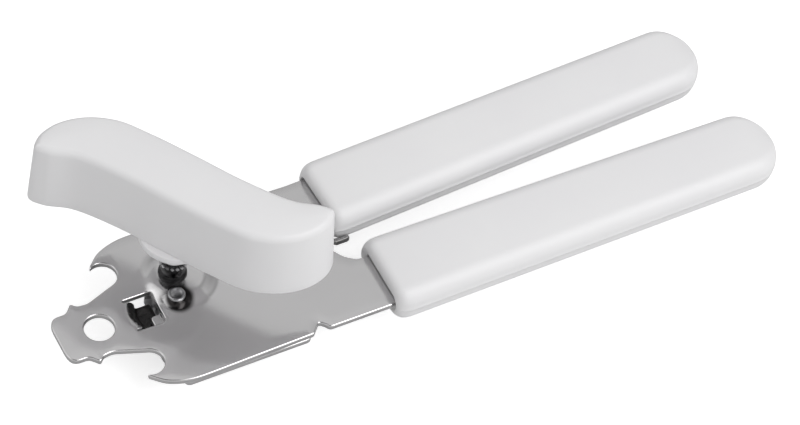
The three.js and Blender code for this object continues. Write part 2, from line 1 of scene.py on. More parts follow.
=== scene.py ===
# %% [markdown]
# # Manual can opener
# This lesson dresses a hand-held can opener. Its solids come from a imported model, which also says
# what turns on what. Here each solid gets the rounded edges, bends, teeth and finishes of the real
# thing. All sizes below are in millimetres and are turned into metres only when a mesh is made, so
# that the numbers read like those on a drawing.

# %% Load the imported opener
import math

import bmesh
import bpy
import numpy as np
from mathutils import Matrix, Vector
from mathutils.geometry import delaunay_2d_cdt


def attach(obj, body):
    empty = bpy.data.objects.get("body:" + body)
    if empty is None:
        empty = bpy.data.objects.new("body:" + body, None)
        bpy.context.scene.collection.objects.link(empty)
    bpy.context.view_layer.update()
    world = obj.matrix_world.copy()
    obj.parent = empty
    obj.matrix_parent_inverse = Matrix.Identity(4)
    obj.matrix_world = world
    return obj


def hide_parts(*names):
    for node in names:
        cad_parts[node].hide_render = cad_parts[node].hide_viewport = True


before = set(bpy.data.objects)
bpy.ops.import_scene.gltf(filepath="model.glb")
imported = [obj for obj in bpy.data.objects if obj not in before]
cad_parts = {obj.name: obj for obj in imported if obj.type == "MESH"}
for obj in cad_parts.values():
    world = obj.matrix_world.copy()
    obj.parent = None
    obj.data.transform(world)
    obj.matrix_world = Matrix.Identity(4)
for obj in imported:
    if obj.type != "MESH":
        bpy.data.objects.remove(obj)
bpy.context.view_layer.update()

MM = 0.001
print("solids:", len(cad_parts))

# %% [markdown]
# Everything on the opener is measured from the drive shaft, which stands upright at x = y = 0.
# Three more axes matter to pieces and finishes alike: the cutter's axle, the eccentric journal
# that the lower lever swings on, and the rivet that holds the bushing.

# %% The axes
CUTTER_AT = (0.0, -13.0)
PIVOT_AT = (5.2, 0.0)
RIVET = (-1.9, -6.3)
print("the journal stands", PIVOT_AT[0], "mm off the drive shaft")

# %% [markdown]
# ## Effects that several finishes share
# A finish looks real when it isn't quite even. Colour drifts a little, handling leaves duller
# patches and fine scratches, and every surface has a texture of its own. Each effect is a shader
# group with named sockets, built once and placed in each material with its own values. A group
# puts out only values, and the shader itself stays in the material.


# %% Ways to add a node
def add_node(tree, kind, links=(), **settings):
    """One node with its settings, and its inputs linked or set by name or number."""
    node = tree.nodes.new(kind)
    for key, value in settings.items():
        setattr(node, key, value)
    for socket, value in links:
        if isinstance(value, bpy.types.NodeSocket):
            tree.links.new(value, node.inputs[socket])
        else:
            node.inputs[socket].default_value = value
    return node


def wire(tree, kind, *links, **settings):
    """One node wired to its inputs; gives its first output."""
    return add_node(tree, kind, links, **settings).outputs[0]


def calc(tree, operation, *values):
    """Arithmetic on numbers and on the outputs of other nodes."""
    return wire(tree, "ShaderNodeMath", *enumerate(values), operation=operation)


def xyz(tree, **parts):
    """A vector from its parts; those that aren't given are 0."""
    return wire(tree, "ShaderNodeCombineXYZ", *parts.items())


print("a tree is built by", [maker.__name__ for maker in (add_node, wire, calc, xyz)])


# %% A way to start a group of nodes
def group_tree(kind, name, inputs, output):
    """A group with named inputs and one output, each with its kind of socket.
    Gives the tree, its inputs by name, and its output."""
    tree = bpy.data.node_groups.new(name, kind)
    new = tree.interface.new_socket
    for socket, socket_kind, value in inputs:
        made = new(socket, in_out="INPUT", socket_type="NodeSocket" + socket_kind)
        if value is not None:
            made.default_value = value
    new(output[0], in_out="OUTPUT", socket_type="NodeSocket" + output[1])
    source = tree.nodes.new("NodeGroupInput")
    given = {socket.name: socket for socket in source.outputs if socket.name}
    return tree, given, tree.nodes.new("NodeGroupOutput").inputs[0]


def shader_group(name, values, output):
    """A shader group that reads a Vector and some numbers, and puts out one value."""
    inputs = [("Vector", "Vector", None)]
    inputs += [(socket, "Float", value) for socket, value in values.items()]
    return group_tree("ShaderNodeTree", name, inputs, (output, "Float"))


print("node groups so far:", len(bpy.data.node_groups))

# %% Drift: slow, cloudy variation
drift, given, result = shader_group("surface_drift", {"Scale": 60.0}, "Amount")
cloud = wire(drift, "ShaderNodeTexNoise", *given.items(), ("Detail", 4.0), ("Roughness", 0.55))
spread = wire(drift, "ShaderNodeMapRange", ("Value", cloud), ("From Min", 0.3), ("From Max", 0.7))
drift.links.new(spread, result)
print("group:", drift.name)

# %% Grain: the fine skin of a moulding or of a bead-blasted face
grain, given, result = shader_group("fine_grain", {"Scale": 2500.0}, "Height")
fine = wire(grain, "ShaderNodeTexNoise", *given.items(), ("Detail", 2.0))
pits = wire(grain, "ShaderNodeTexVoronoi", *given.items())
grain.links.new(calc(grain, "MULTIPLY_ADD", fine, 0.7, pits), result)
print("group:", grain.name)

# %% Lines: rolling and grinding marks, long in one direction
lines, given, result = shader_group("drawn_lines", {"Fineness": 900.0, "Length": 0.04}, "Height")
drawn = wire(lines, "ShaderNodeVectorMath", (0, given["Vector"]),
             (1, xyz(lines, X=given["Length"], Y=1.0, Z=1.0)), operation="MULTIPLY")
streak = wire(lines, "ShaderNodeTexNoise", ("Vector", drawn), ("Scale", given["Fineness"]),
              ("Detail", 3.0), ("Roughness", 0.6))
lines.links.new(streak, result)
print("group:", lines.name)

# %% Rings: the marks that a lathe leaves round an axis
rings, given, result = shader_group("turning_rings", {"Pitch": 0.00016}, "Height")
x, y, z = add_node(rings, "ShaderNodeSeparateXYZ", [(0, given["Vector"])]).outputs
reach = add_node(rings, "ShaderNodeVectorMath", [(0, xyz(rings, X=x, Y=y))],
                 operation="LENGTH").outputs["Value"]
turns = calc(rings, "DIVIDE", calc(rings, "ADD", reach, z), given["Pitch"])
wobble = wire(rings, "ShaderNodeTexNoise", ("W", turns), ("Detail", 2.0), noise_dimensions="1D")
rings.links.new(wobble, result)
print("group:", rings.name)

# %% Scratches: thin, long, and few
scratches, given, result = shader_group("fine_scratches", {"Scale": 45.0, "Amount": 0.5}, "Mask")
masks = []
for turn, stretch in ((0.4, 0.05), (2.1, 0.08)):
    turned_place = wire(scratches, "ShaderNodeMapping", ("Vector", given["Vector"]),
                        ("Rotation", (0.0, 0.0, turn)), ("Scale", (stretch, 1.0, 1.0)))
    hair = wire(scratches, "ShaderNodeTexNoise", ("Vector", turned_place),
                ("Scale", given["Scale"]), ("Detail", 8.0), ("Roughness", 0.8))
    near = calc(scratches, "ABSOLUTE", calc(scratches, "SUBTRACT", hair, 0.5))
    masks.append(wire(scratches, "ShaderNodeMapRange", ("Value", near), ("From Min", 0.0),
                      ("From Max", 0.012), ("To Min", 1.0), ("To Max", 0.0)))
most = calc(scratches, "MAXIMUM", *masks)
scratches.links.new(calc(scratches, "MULTIPLY", most, given["Amount"]), result)
print("group:", scratches.name)

# %% [markdown]
# ## Finishes
# The opener has two kinds of surface: white moulded plastic and bright steel. The plastic is
# satin, with the faint spark-eroded skin of its mould. The levers are rolled sheet, pressed and
# then plated, so their lines are soft under the plating. The small round pieces are turned, and
# the gears and wheels are ground and hardened, a little darker.


# %% A way to start a finish
def start_finish(name, centre=(0.0, 0.0), metallic=1.0):
    """A material with Object coordinates in metres, measured from the axis at centre."""
    material = bpy.data.materials.new(name)
    material.use_nodes = True
    tree = material.node_tree
    shader = tree.nodes["Principled BSDF"]
    shader.inputs["Metallic"].default_value = metallic
    place = add_node(tree, "ShaderNodeTexCoord").outputs["Object"]
    centred = wire(tree, "ShaderNodeMapping", ("Vector", place),
                   ("Location", (-centre[0] * MM, -centre[1] * MM, 0.0)))
    return material, tree, shader, centred


def use_group(tree, group, vector, **values):
    return wire(tree, "ShaderNodeGroup", ("Vector", vector), *values.items(), node_tree=group)


print("effects to choose from:", [group.name for group in bpy.data.node_groups])


# %% Colour, roughness and bump from the shared effects
def blend(tree, amount, first, second):
    """A colour between two others, where the first may come from another node."""
    first = first if isinstance(first, bpy.types.NodeSocket) else (*first, 1.0)
    return add_node(tree, "ShaderNodeMix", [
        (0, amount), (6, first), (7, (*second, 1.0))], data_type="RGBA").outputs[2]


def tint(tree, shader, amount, first, second):
    """Base colour that drifts between two colours."""
    tree.links.new(blend(tree, amount, first, second), shader.inputs["Base Color"])


def roughen(tree, shader, amount, marks, low, high, added):
    """Roughness from low to high with the drift, plus some more on the marks."""
    plain = wire(tree, "ShaderNodeMapRange", ("Value", amount), ("To Min", low), ("To Max", high))
    tree.links.new(calc(tree, "MULTIPLY_ADD", marks, added, plain), shader.inputs["Roughness"])


def dent(tree, shader, heights, strength):
    """Bump from (height, depth in millimetres) pairs, one after the other."""
    before = []
    for height, depth in heights:
        normal = wire(tree, "ShaderNodeBump", ("Height", height), ("Strength", strength),
                      ("Distance", depth * MM), *before)
        before = [("Normal", normal)]
    tree.links.new(normal, shader.inputs["Normal"])


print("materials so far:", len(bpy.data.materials))


# %% White satin moulding
def moulded_white(name):
    material, tree, shader, place = start_finish(name, metallic=0.0)
    slow = use_group(tree, drift, place, Scale=45.0)
    marks = use_group(tree, scratches, place, Scale=30.0, Amount=0.35)
    skin = use_group(tree, grain, place, Scale=3200.0)
    tint(tree, shader, slow, (0.775, 0.770, 0.782), (0.795, 0.792, 0.798))
    roughen(tree, shader, slow, marks, 0.40, 0.47, 0.08)
    dent(tree, shader, [(skin, 0.010), (slow, 0.02)], 0.5)
    shader.inputs["IOR"].default_value = 1.46
    return material


plastic = moulded_white("white_satin_moulding")
print("finish:", plastic.name)


# %% Plated sheet, with a painted dark reflection round the rivet
PAINTED_DARK_AT, PAINTED_DARK_FULL, PAINTED_DARK_GONE = Vector((-1.5, -7.0, 15.6)), 2.5, 4.0


def plated_sheet(name):
    material, tree, shader, place = start_finish(name)
    slow = use_group(tree, drift, place, Scale=38.0)
    rolled = use_group(tree, lines, place, Fineness=900.0, Length=0.05)
    marks = use_group(tree, scratches, place, Scale=26.0, Amount=0.2)
    # Painted reflection: the plate's colour turns near black round a point beside the rivet and
    # fades out a little further off, for the dark that the boss's slope mirrors there.
    away = add_node(tree, "ShaderNodeVectorMath", [(0, place), (1, tuple(PAINTED_DARK_AT * MM))],
                    operation="DISTANCE").outputs["Value"]
    painted_reflection = wire(tree, "ShaderNodeMapRange", (0, away), (1, PAINTED_DARK_FULL * MM),
                 (2, PAINTED_DARK_GONE * MM), (3, 1.0), (4, 0.0), interpolation_type="SMOOTHSTEP")
    own_colour = blend(tree, slow, (0.675, 0.667, 0.671), (0.705, 0.698, 0.703))
    tint(tree, shader, painted_reflection, own_colour, (0.030, 0.028, 0.028))
    roughen(tree, shader, rolled, marks, 0.165, 0.190, 0.06)
    dent(tree, shader, [(rolled, 0.0008), (slow, 0.03)], 0.3)
    return material


plate = plated_sheet("plated_sheet")
print("finish:", plate.name)


# %% The rim of a sheet, and the painted shade on the outside of its bends
def sheared_edge(name):
    """The cut rim of a sheet: plated too, but duller, with upright marks from the press."""
    material, tree, shader, place = start_finish(name)
    slow = use_group(tree, drift, place, Scale=90.0)
    torn = use_group(tree, grain, place, Scale=900.0)
    marks = use_group(tree, scratches, place, Scale=60.0, Amount=0.5)
    tint(tree, shader, slow, (0.40, 0.395, 0.40), (0.50, 0.495, 0.50))
    roughen(tree, shader, torn, marks, 0.34, 0.46, 0.10)
    dent(tree, shader, [(torn, 0.02), (slow, 0.03)], 0.5)
    return material


def stretched_plating(name, dark, light):
    """The outside of a tight bend, its colour painted dark as shade and dark reflection, with
    crazed lines in its bump.
    """
    material, tree, shader, place = start_finish(name)
    slow = use_group(tree, drift, place, Scale=260.0)
    crazed = use_group(tree, lines, place, Fineness=2600.0, Length=0.2)
    marks = use_group(tree, scratches, place, Scale=120.0, Amount=0.5)
    tint(tree, shader, slow, dark, light)
    roughen(tree, shader, crazed, marks, 0.22, 0.36, 0.10)
    dent(tree, shader, [(crazed, 0.008), (slow, 0.02)], 0.5)
    return material


cut_steel = sheared_edge("sheared_edge")
# Painted shade: the strip's bend gets near-black plating and the lower lever's flange a dark grey,
# for the shade and dark reflections that they show.
strip_painted_shade = stretched_plating("stretched_plating", (0.035, 0.034, 0.034), (0.10, 0.098, 0.096))
flange_painted_shade = stretched_plating("folded_plating", (0.21, 0.208, 0.206), (0.29, 0.287, 0.284))
print("finishes:", cut_steel.name, strip_painted_shade.name, flange_painted_shade.name)


# %% Steel from the lathe and from the grinder
def turned_steel(name, centre, dark, light, rough=(0.22, 0.34)):
    """Rings round an upright axis, where dark and light are the colours it drifts between."""
    material, tree, shader, place = start_finish(name, centre)
    slow = use_group(tree, drift, place, Scale=160.0)
    ringed = use_group(tree, rings, place, Pitch=0.00014)
    marks = use_group(tree, scratches, place, Scale=90.0, Amount=0.4)
    tint(tree, shader, slow, dark, light)
    roughen(tree, shader, ringed, marks, rough[0], rough[1], 0.10)
    dent(tree, shader, [(ringed, 0.006)], 0.4)
    return material


def ground_steel(name, centre):
    """Hardened steel, darker, with straight lines from the wheel that ground it."""
    material, tree, shader, place = start_finish(name, centre)
    slow = use_group(tree, drift, place, Scale=120.0)
    ground = use_group(tree, lines, place, Fineness=1500.0, Length=0.1)
    skin = use_group(tree, grain, place, Scale=4000.0)
    marks = use_group(tree, scratches, place, Scale=80.0, Amount=0.5)
    tint(tree, shader, slow, (0.36, 0.36, 0.37), (0.44, 0.435, 0.44))
    roughen(tree, shader, ground, marks, 0.28, 0.40, 0.12)
    dent(tree, shader, [(ground, 0.006), (skin, 0.004)], 0.4)
    return material


bright = turned_steel("turned_bright", (0, 0), (0.50, 0.50, 0.51), (0.60, 0.60, 0.61))
# Painted shade: a near-black steel for the neck and the washer's ring, standing in for the shade
# and dark reflections round the shaft.
neck_painted_dark = turned_steel("turned_black", (0, 0), (0.035, 0.034, 0.035), (0.07, 0.07, 0.072),
                          (0.14, 0.22))
axle_steel = turned_steel("turned_axle", CUTTER_AT, (0.48, 0.48, 0.49), (0.58, 0.58, 0.59))
ring_steel = turned_steel("turned_ring", PIVOT_AT, (0.46, 0.46, 0.47), (0.56, 0.56, 0.57))
rivet_steel = turned_steel("turned_rivet", RIVET, (0.40, 0.40, 0.41), (0.52, 0.52, 0.53))
drive_steel = ground_steel("ground_drive", (0, 0))
cutter_steel = ground_steel("ground_cutter", CUTTER_AT)
print("finishes:", [m.name for m in bpy.data.materials])

# %% [markdown]
# ## Helpers for mesh pieces
# Most pieces of the opener are one of three shapes: a sheet with an outline, a turned ring, or a
# bar lofted through sections. Three small helpers make these, and a fourth one rounds the corners
# of any drawn line the way a press tool or a lathe does.


# %% Lines with eased corners
def eased(corners, steps=6):
    """A closed line through (a, b, cut) corners, each eased over the length cut."""
    points = []
    count = len(corners)
    for index, (a, b, cut) in enumerate(corners):
        corner = Vector((a, b))
        if cut <= 0:
            points.append(corner)
            continue
        ends = []
        for other in (corners[index - 1], corners[(index + 1) % count]):
            side = Vector(other[:2]) - corner
            ends.append(corner + side.normalized() * min(cut, side.length * 0.49))
        for step in range(steps + 1):
            t = step / steps
            points.append(ends[0] * (1 - t) ** 2 + corner * 2 * t * (1 - t) + ends[1] * t * t)
    return [(p.x, p.y) for p in points]


def circle(x, y, radius, sides=64):
    return [(x + radius * math.cos(2 * math.pi * i / sides),
             y + radius * math.sin(2 * math.pi * i / sides)) for i in range(sides)]


print("an eased square has", len(eased([(0, 0, 1), (5, 0, 1), (5, 5, 1), (0, 5, 1)])), "points")


# %% From millimetres to an object
SHARP_FORMED, SHARP_CUT = 35, 30  # an edge that turns more than this many degrees stays sharp


def add_object(name, data):
    made = bpy.data.objects.new(name, data)
    bpy.context.scene.collection.objects.link(made)
    return made


def make_piece(name, vertices, faces, material, others=()):
    """A closed mesh that is smooth between its sharp edges.
    others lists further materials, each with the numbers of the faces that it covers."""
    mesh = bpy.data.meshes.new(name)
    mesh.from_pydata([Vector(v) * MM for v in vertices], [], faces)
    mesh.materials.append(material)
    for slot, (other, numbers) in enumerate(others, 1):
        mesh.materials.append(other)
        for number in numbers:
            mesh.polygons[number].material_index = slot
    work = bmesh.new()
    work.from_mesh(mesh)
    bmesh.ops.remove_doubles(work, verts=work.verts, dist=1e-7)
    bmesh.ops.dissolve_degenerate(work, edges=work.edges, dist=1e-8)
    bmesh.ops.recalc_face_normals(work, faces=work.faces)
    for face in work.faces:
        face.smooth = True
    work.to_mesh(mesh)
    work.free()
    mesh.set_sharp_from_angle(angle=math.radians(SHARP_FORMED))
    return add_object(name, mesh)


print("a formed piece is smooth up to", SHARP_FORMED, "degrees")


# %% Rounded edges, a plain mesh, and the solid's place
def round_edges(piece, edge, corner):
    """Edges sharper than corner degrees rounded by edge millimetres."""
    bevel = piece.modifiers.new("rounded_edges", "BEVEL")
    bevel.width = edge * MM
    bevel.segments = 3
    bevel.limit_method = "ANGLE"
    bevel.angle_limit = math.radians(corner)
    bevel.harden_normals = True
    settle(piece)


def settle(piece):
    """Turn the modified shape into the piece's own mesh."""
    bpy.context.view_layer.update()
    seen = piece.evaluated_get(bpy.context.evaluated_depsgraph_get())
    mesh = bpy.data.meshes.new_from_object(seen)
    piece.modifiers.clear()
    old = piece.data
    piece.data = mesh
    mesh.name = piece.name
    if old.users == 0:
        bpy.data.meshes.remove(old)


def stands_for(piece, node, body):
    """The piece takes a solid's place, moves with its body and names its finish."""
    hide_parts(node)
    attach(piece, body)
    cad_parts[node].data.materials.clear()
    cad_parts[node].data.materials.append(piece.data.materials[0])
    print(piece.name, "stands for", node, "with", len(piece.data.polygons), "faces")


print("solids that a piece can stand for:", len(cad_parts))


# %% Turned pieces
def lathe(profile, centre=(0.0, 0.0), sides=96):
    """Vertices and faces of a closed (radius, z) line turned round an upright axis."""
    vertices, faces, count = [], [], len(profile)
    for side in range(sides):
        angle = 2 * math.pi * side / sides
        for radius, z in profile:
            vertices.append((centre[0] + radius * math.cos(angle),
                             centre[1] + radius * math.sin(angle), z))
        following = (side + 1) % sides
        for index in range(count):
            after = (index + 1) % count
            if profile[index][0] > 1e-6 or profile[after][0] > 1e-6:
                faces.append([side * count + index, following * count + index,
                              following * count + after, side * count + after])
    return vertices, faces


def turned(name, profile, material, centre=(0.0, 0.0), sides=96, edge=0.12):
    """A ring or a solid of revolution from a closed (radius, z) line."""
    line = eased([(r, z, edge if r > 1e-6 else 0.0) for r, z in profile], steps=3)
    return make_piece(name, *lathe(line, centre, sides), material)


print("a turned square ring has", len(lathe([(1, 0), (2, 0), (2, 1), (1, 1)])[1]), "faces")


# %% Lofted pieces
def loft(rings):
    """Vertices and faces through rings of equal length, with flat ends."""
    count = len(rings[0])
    vertices = [point for ring in rings for point in ring]
    faces = []
    for ring in range(len(rings) - 1):
        for index in range(count):
            a = ring * count + index
            b = ring * count + (index + 1) % count
            faces.append([a, b, b + count, a + count])
    last = (len(rings) - 1) * count
    faces.append(list(range(count))[::-1])
    faces.append([last + index for index in range(count)])
    return vertices, faces


print("a lofted cube has", len(loft([circle(0, 0, 1, 4), circle(0, 0, 1, 4)])[1]), "faces")

# %% [markdown]
# ## Sheet metal
# A lever starts as a flat blank. The press cuts its outline and holes, then lifts the boss and
# bends the strips down. The code does the same: it fills the flat outline with small triangles,
# gives every point a place on the top and the bottom face, and only then closes the rim. A plain
# extrusion would be quicker, but it couldn't be swelled or bent afterwards.


# %% Points inside an outline, and their distance from its rims
def inside(points, loops):
    """Even-odd test of many points against all the loops at once."""
    found = np.zeros(len(points), bool)
    px, py = points[:, 0], points[:, 1]
    for loop in loops:
        ends = np.array(loop)
        for (ax, ay), (bx, by) in zip(ends, np.roll(ends, -1, axis=0)):
            if ay == by:
                continue
            crosses = (ay > py) != (by > py)
            found ^= crosses & (px < (bx - ax) * (py - ay) / (by - ay) + ax)
    return found


def to_rims(points, loops):
    """The distance from each point to the nearest side of any loop."""
    nearest = np.full(len(points), 1e9)
    for loop in loops:
        ends = np.array(loop)
        for a, b in zip(ends, np.roll(ends, -1, axis=0)):
            side = b - a
            share = np.clip(((points - a) @ side) / max(side @ side, 1e-12), 0, 1)
            nearest = np.minimum(nearest, np.hypot(*(points - a - share[:, None] * side).T))
    return nearest


print("a circle's middle is", to_rims(np.zeros((1, 2)), [circle(0, 0, 5)])[0].round(2), "mm in")


# %% Lines and rows of evenly spaced points
def spaced(loop, low, high):
    """The same line with its points neither crowded nor far apart."""
    line = []
    for point in loop:
        if not line or math.dist(line[-1], point) > low:
            line.append(point)
    if math.dist(line[-1], line[0]) < low:
        line.pop()
    made = []
    for a, b in zip(line, line[1:] + line[:1]):
        parts = max(1, math.ceil(math.dist(a, b) / high))
        made += [(a[0] + (b[0] - a[0]) * i / parts, a[1] + (b[1] - a[1]) * i / parts)
                 for i in range(parts)]
    return made


def rows_inside(loops, depths):
    """Points that follow every rim at the given depths, where the sheet is wide enough."""
    found = []
    for loop in loops:
        ends = np.array(loop)
        along = np.roll(ends, -1, axis=0) - np.roll(ends, 1, axis=0)
        across = np.column_stack([-along[:, 1], along[:, 0]])
        across /= np.hypot(*across.T)[:, None] + 1e-12
        for depth in depths:
            for side in (1, -1):
                points = ends + across * depth * side
                points = points[inside(points, loops)]
                if len(points):  # and without those that another rim is nearer to
                    found.append(points[to_rims(points, loops) > depth * 0.96])
    return np.vstack(found)


def grid(low, high, step):
    xs = np.arange(low[0], high[0], step)
    ys = np.arange(low[1], high[1], step)
    return np.array([(x, y) for x in xs for y in ys])


print("a 2 mm square holds", len(grid((0, 0), (2, 2), 0.5)), "points at a step of 0.5 mm")


# %% Fill a flat outline with small triangles
def fill_outline(loops, grids, depths=()):
    """Flat points and triangles inside the first loop and outside the others."""
    rims = [Vector(p) for loop in loops for p in loop]
    edges, start = [], 0
    for loop in loops:
        edges += [(start + i, start + (i + 1) % len(loop)) for i in range(len(loop))]
        start += len(loop)
    dense = []
    if depths:
        dense.append(rows_inside(loops, depths))
    taken = np.vstack([np.array([tuple(p) for p in rims])] + dense)
    for low, high, step in grids:
        points = grid(low, high, step)
        points = points[inside(points, loops)]
        if depths:  # the rows along the rims stay as they are
            points = points[to_rims(points, loops) > max(depths) * 1.3]
        away = np.array([np.min(np.hypot(*(taken - p).T)) for p in points])
        dense.append(points[away > step * 0.6])  # a coarse grid keeps off a fine one
        taken = np.vstack([taken, dense[-1]])
    spots = rims + [Vector(p) for p in np.vstack(dense)]
    made = delaunay_2d_cdt(spots, edges, [], 0, 1e-6)
    flat, faces = made[0], made[2]
    middles = np.array([tuple(sum((flat[i] for i in f), Vector((0, 0))) / 3) for f in faces])
    keep = inside(middles, loops)
    return [tuple(p) for p in flat], [list(f) for f, ok in zip(faces, keep) if ok]


print("a filled circle has", len(fill_outline([circle(0, 0, 5)], [((-5, -5), (5, 5), 1)])[1]),
      "triangles")


# %% Give the flat blank its two faces and its rim
RIM_ROUND = 0.34
NEAREST, FARTHEST = 0.16, 0.45  # how near and how far the points of a rim may lie


def sheet_piece(name, loops, grids, top, bottom, bent, finish):
    """A sheet with its rims rounded on both faces.
    bent tells which flat points lie on a tight bend, where the plating takes the given finish,
    painted darker as shade."""
    loops = [spaced(loop, NEAREST, FARTHEST) for loop in loops]
    depths = [RIM_ROUND * (1 - math.cos(math.radians(angle))) for angle in (25, 45, 65, 90)]
    flat, triangles = fill_outline(loops, grids, depths)
    used = sorted({i for triangle in triangles for i in triangle})
    order = {old: new for new, old in enumerate(used)}
    flat = [flat[i] for i in used]
    count = len(flat)
    faces, sides = [], {}
    for triangle in triangles:
        a, b, c = (order[i] for i in triangle)
        (ax, ay), (bx, by), (cx, cy) = flat[a], flat[b], flat[c]
        if (bx - ax) * (cy - ay) - (by - ay) * (cx - ax) < 0:
            b, c = c, b
        faces += [[a, b, c], [c + count, b + count, a + count]]
        for pair in ((a, b), (b, c), (c, a)):
            sides[pair] = True
    walls = len(faces)
    for a, b in list(sides):
        if (b, a) not in sides:
            faces.append([a, a + count, b + count, b])
    depth = np.clip(to_rims(np.array(flat), loops), 0, RIM_ROUND)
    drop = RIM_ROUND - np.sqrt(np.maximum(RIM_ROUND ** 2 - (RIM_ROUND - depth) ** 2, 0))
    upper, lower = [], []
    for (x, y), down in zip(flat, drop):
        high, low = Vector(top(x, y)), Vector(bottom(x, y))
        through = (low - high).normalized() * float(down)
        upper.append(high + through)
        lower.append(low - through)
    others = [(cut_steel, range(walls, len(faces)))]
    # Painted shade: the faces that lie wholly on a bend take the darker finish.
    painted_shade_here = [bent(x, y) for x, y in flat] * 2
    others.append((finish, [number for number, face in enumerate(faces[:walls])
                            if all(painted_shade_here[corner] for corner in face)]))
    return make_piece(name, upper + lower, faces, plate, others=others)


print("the rims are rounded by", RIM_ROUND, "mm")

# %% [markdown]
# ## The upper lever
# The nose has two barbs and a hanging hole, and behind it two round notches take the rim of a
# crown cap. The boss is pressed up round the shaft, with a small bulge for the rivet. A strip is
# cut free in the window and bent down, so that its foot holds the edge of the lower lever.

# %% Levels and sizes of the levers
SLIDE_GAP, BORE_GAP = 0.3, 0.2
PLATE = 1.6  # thickness of both levers
LOWER_Z, UPPER_Z = 11.1, 13.0  # undersides of the levers
UPPER_TOP = UPPER_Z + PLATE
BOSS_TOP = UPPER_TOP + 1.5
NOSE_Y = -6.7  # centre line of the nose
NEAR_Y, FAR_Y = -27.0, 15.4  # sides of the levers
UPPER_GRIP = {"x": 43.0, "y": -19.4, "turn": 0.0, "mouth": 20.3, "end": 18.2, "skew": 0.6}
LOWER_GRIP = {"x": 40.1, "y": 7.3, "turn": 2.8, "mouth": 19.3, "end": 17.8, "skew": -0.6}
TANG_LENGTH, TANG_WIDTH = 58.0, 14.0
print("upper lever from", UPPER_Z, "to", UPPER_TOP, "mm, boss up to", BOSS_TOP, "mm")


# %% A tang inside its grip
def tang(place, side):
    """The corners of a tang inside its grip, on one side."""
    turn = math.radians(place["turn"])
    ends = [(-SLIDE_GAP, 0.2), (TANG_LENGTH, 3.0)]
    corners = []
    for x, cut in (ends if side < 0 else ends[::-1]):
        y = side * TANG_WIDTH / 2
        corners.append((place["x"] + x * math.cos(turn) - y * math.sin(turn),
                        place["y"] + x * math.sin(turn) + y * math.cos(turn), cut))
    return corners


print("the upper tang's corners:", len(tang(UPPER_GRIP, -1) + tang(UPPER_GRIP, 1)))

# %% The nose, its barbs and the round cap notches
HOOK_X, NOTCH_X, NOTCH_OFFSET, NOTCH_RADIUS = -16.2, -14.5, 12.8, 3.35
HEAD_HALF = 20.9
NECK_ROOT = (-20.9, 7.0)
head = [(-30.8, 6.3, 3.4), (-26.3, 6.4, 0.8), (-24.4, 8.5, 0.4), (-23.2, 7.3, 0.5),
        (*NECK_ROOT, 1.0)]  # along the nose, out from its centre line, and each corner's cut


def notch_side():
    """The round cap notch, from where the neck's side meets it without a kink to the tip."""
    away_x, away_y = NOTCH_X - NECK_ROOT[0], NOTCH_OFFSET - NECK_ROOT[1]
    start = (math.atan2(away_y, away_x) - math.asin(NOTCH_RADIUS / math.hypot(away_x, away_y))
             - math.pi / 2)
    end = math.acos((HOOK_X - NOTCH_X) / NOTCH_RADIUS)
    points = []
    for step in range(33):
        angle = start + (end - start) * step / 32
        points.append((NOTCH_X + NOTCH_RADIUS * math.cos(angle),
                       NOTCH_OFFSET + NOTCH_RADIUS * math.sin(angle), 0.0))
    return points


head += notch_side() + [
    (HOOK_X, NOTCH_OFFSET + NOTCH_RADIUS, 0.4),
    (HOOK_X + 2.8, HEAD_HALF - 2.1, 1.3),
    (HOOK_X + 5.8, HEAD_HALF - 0.8, 1.5),
    (HOOK_X + 8.9, HEAD_HALF - 0.1, 1.5),
    (HOOK_X + 11.7, HEAD_HALF, 2.0),
]
print("half of the nose has", len(head), "corners")

# %% The outline of the upper lever
mouth = UPPER_GRIP["x"] - SLIDE_GAP
upper_corners = [(x, NOSE_Y - half, cut) for x, half, cut in head] + [
    (22.6, NEAR_Y, 0.4), (24.9, NEAR_Y + 2.4, 0.6), (26.0, NEAR_Y + 1.4, 0.5),
    (26.8, NEAR_Y + 0.2, 0.6), (mouth, NEAR_Y + 0.2, 0.6),
    *tang(UPPER_GRIP, -1), *tang(UPPER_GRIP, 1),
    (mouth, UPPER_GRIP["y"] + 7.1, 0.3), (mouth - 2, UPPER_GRIP["y"] + 7.2, 1.2),
    (mouth - 4.6, UPPER_GRIP["y"] + 9.2, 1.5), (mouth - 5.9, UPPER_GRIP["y"] + 11.7, 2.0),
    (12.5, FAR_Y - 1.2, 6.0),
] + [(x, NOSE_Y + half, cut) for x, half, cut in head[::-1]]
upper_outline = eased(upper_corners, steps=5)
print("the upper lever's outline has", len(upper_outline), "points")

# %% The window and the strip that stays in it
WINDOW = {"x0": -13.4, "x1": -6.4, "y0": -10.9, "y1": -2.1}
STRIP_GAP = 0.5
STRIP_END = WINDOW["x1"] - 0.7
window_loop = eased([
    (WINDOW["x0"], WINDOW["y0"], 0.2), (WINDOW["x1"], WINDOW["y0"], 1.2),
    (WINDOW["x1"], WINDOW["y1"], 1.2), (WINDOW["x0"], WINDOW["y1"], 0.2),
    (WINDOW["x0"], WINDOW["y1"] - STRIP_GAP, 0.2),
    (STRIP_END, WINDOW["y1"] - STRIP_GAP, 0.5), (STRIP_END, WINDOW["y0"] + STRIP_GAP, 0.5),
    (WINDOW["x0"], WINDOW["y0"] + STRIP_GAP, 0.2),
], steps=4)
print("the strip is", round(STRIP_END - WINDOW["x0"], 2), "mm long on the blank")

# %% The line that the strip is bent to
THIN, TOP_BEND, FOOT_BEND, REACH = 1.2, 3.0, 0.8, 6.8
FOOT_TOP = LOWER_Z - 0.4 - UPPER_Z  # from the plate's underside
BENT, WALLED, FILLETED = 0.4, 0.48, 0.68  # shares of the strip where its parts end


def arc(centre, radii, start, end, share):
    angle = math.radians(start + (end - start) * share)
    return centre[0] + radii[0] * math.cos(angle), centre[1] + radii[1] * math.sin(angle)


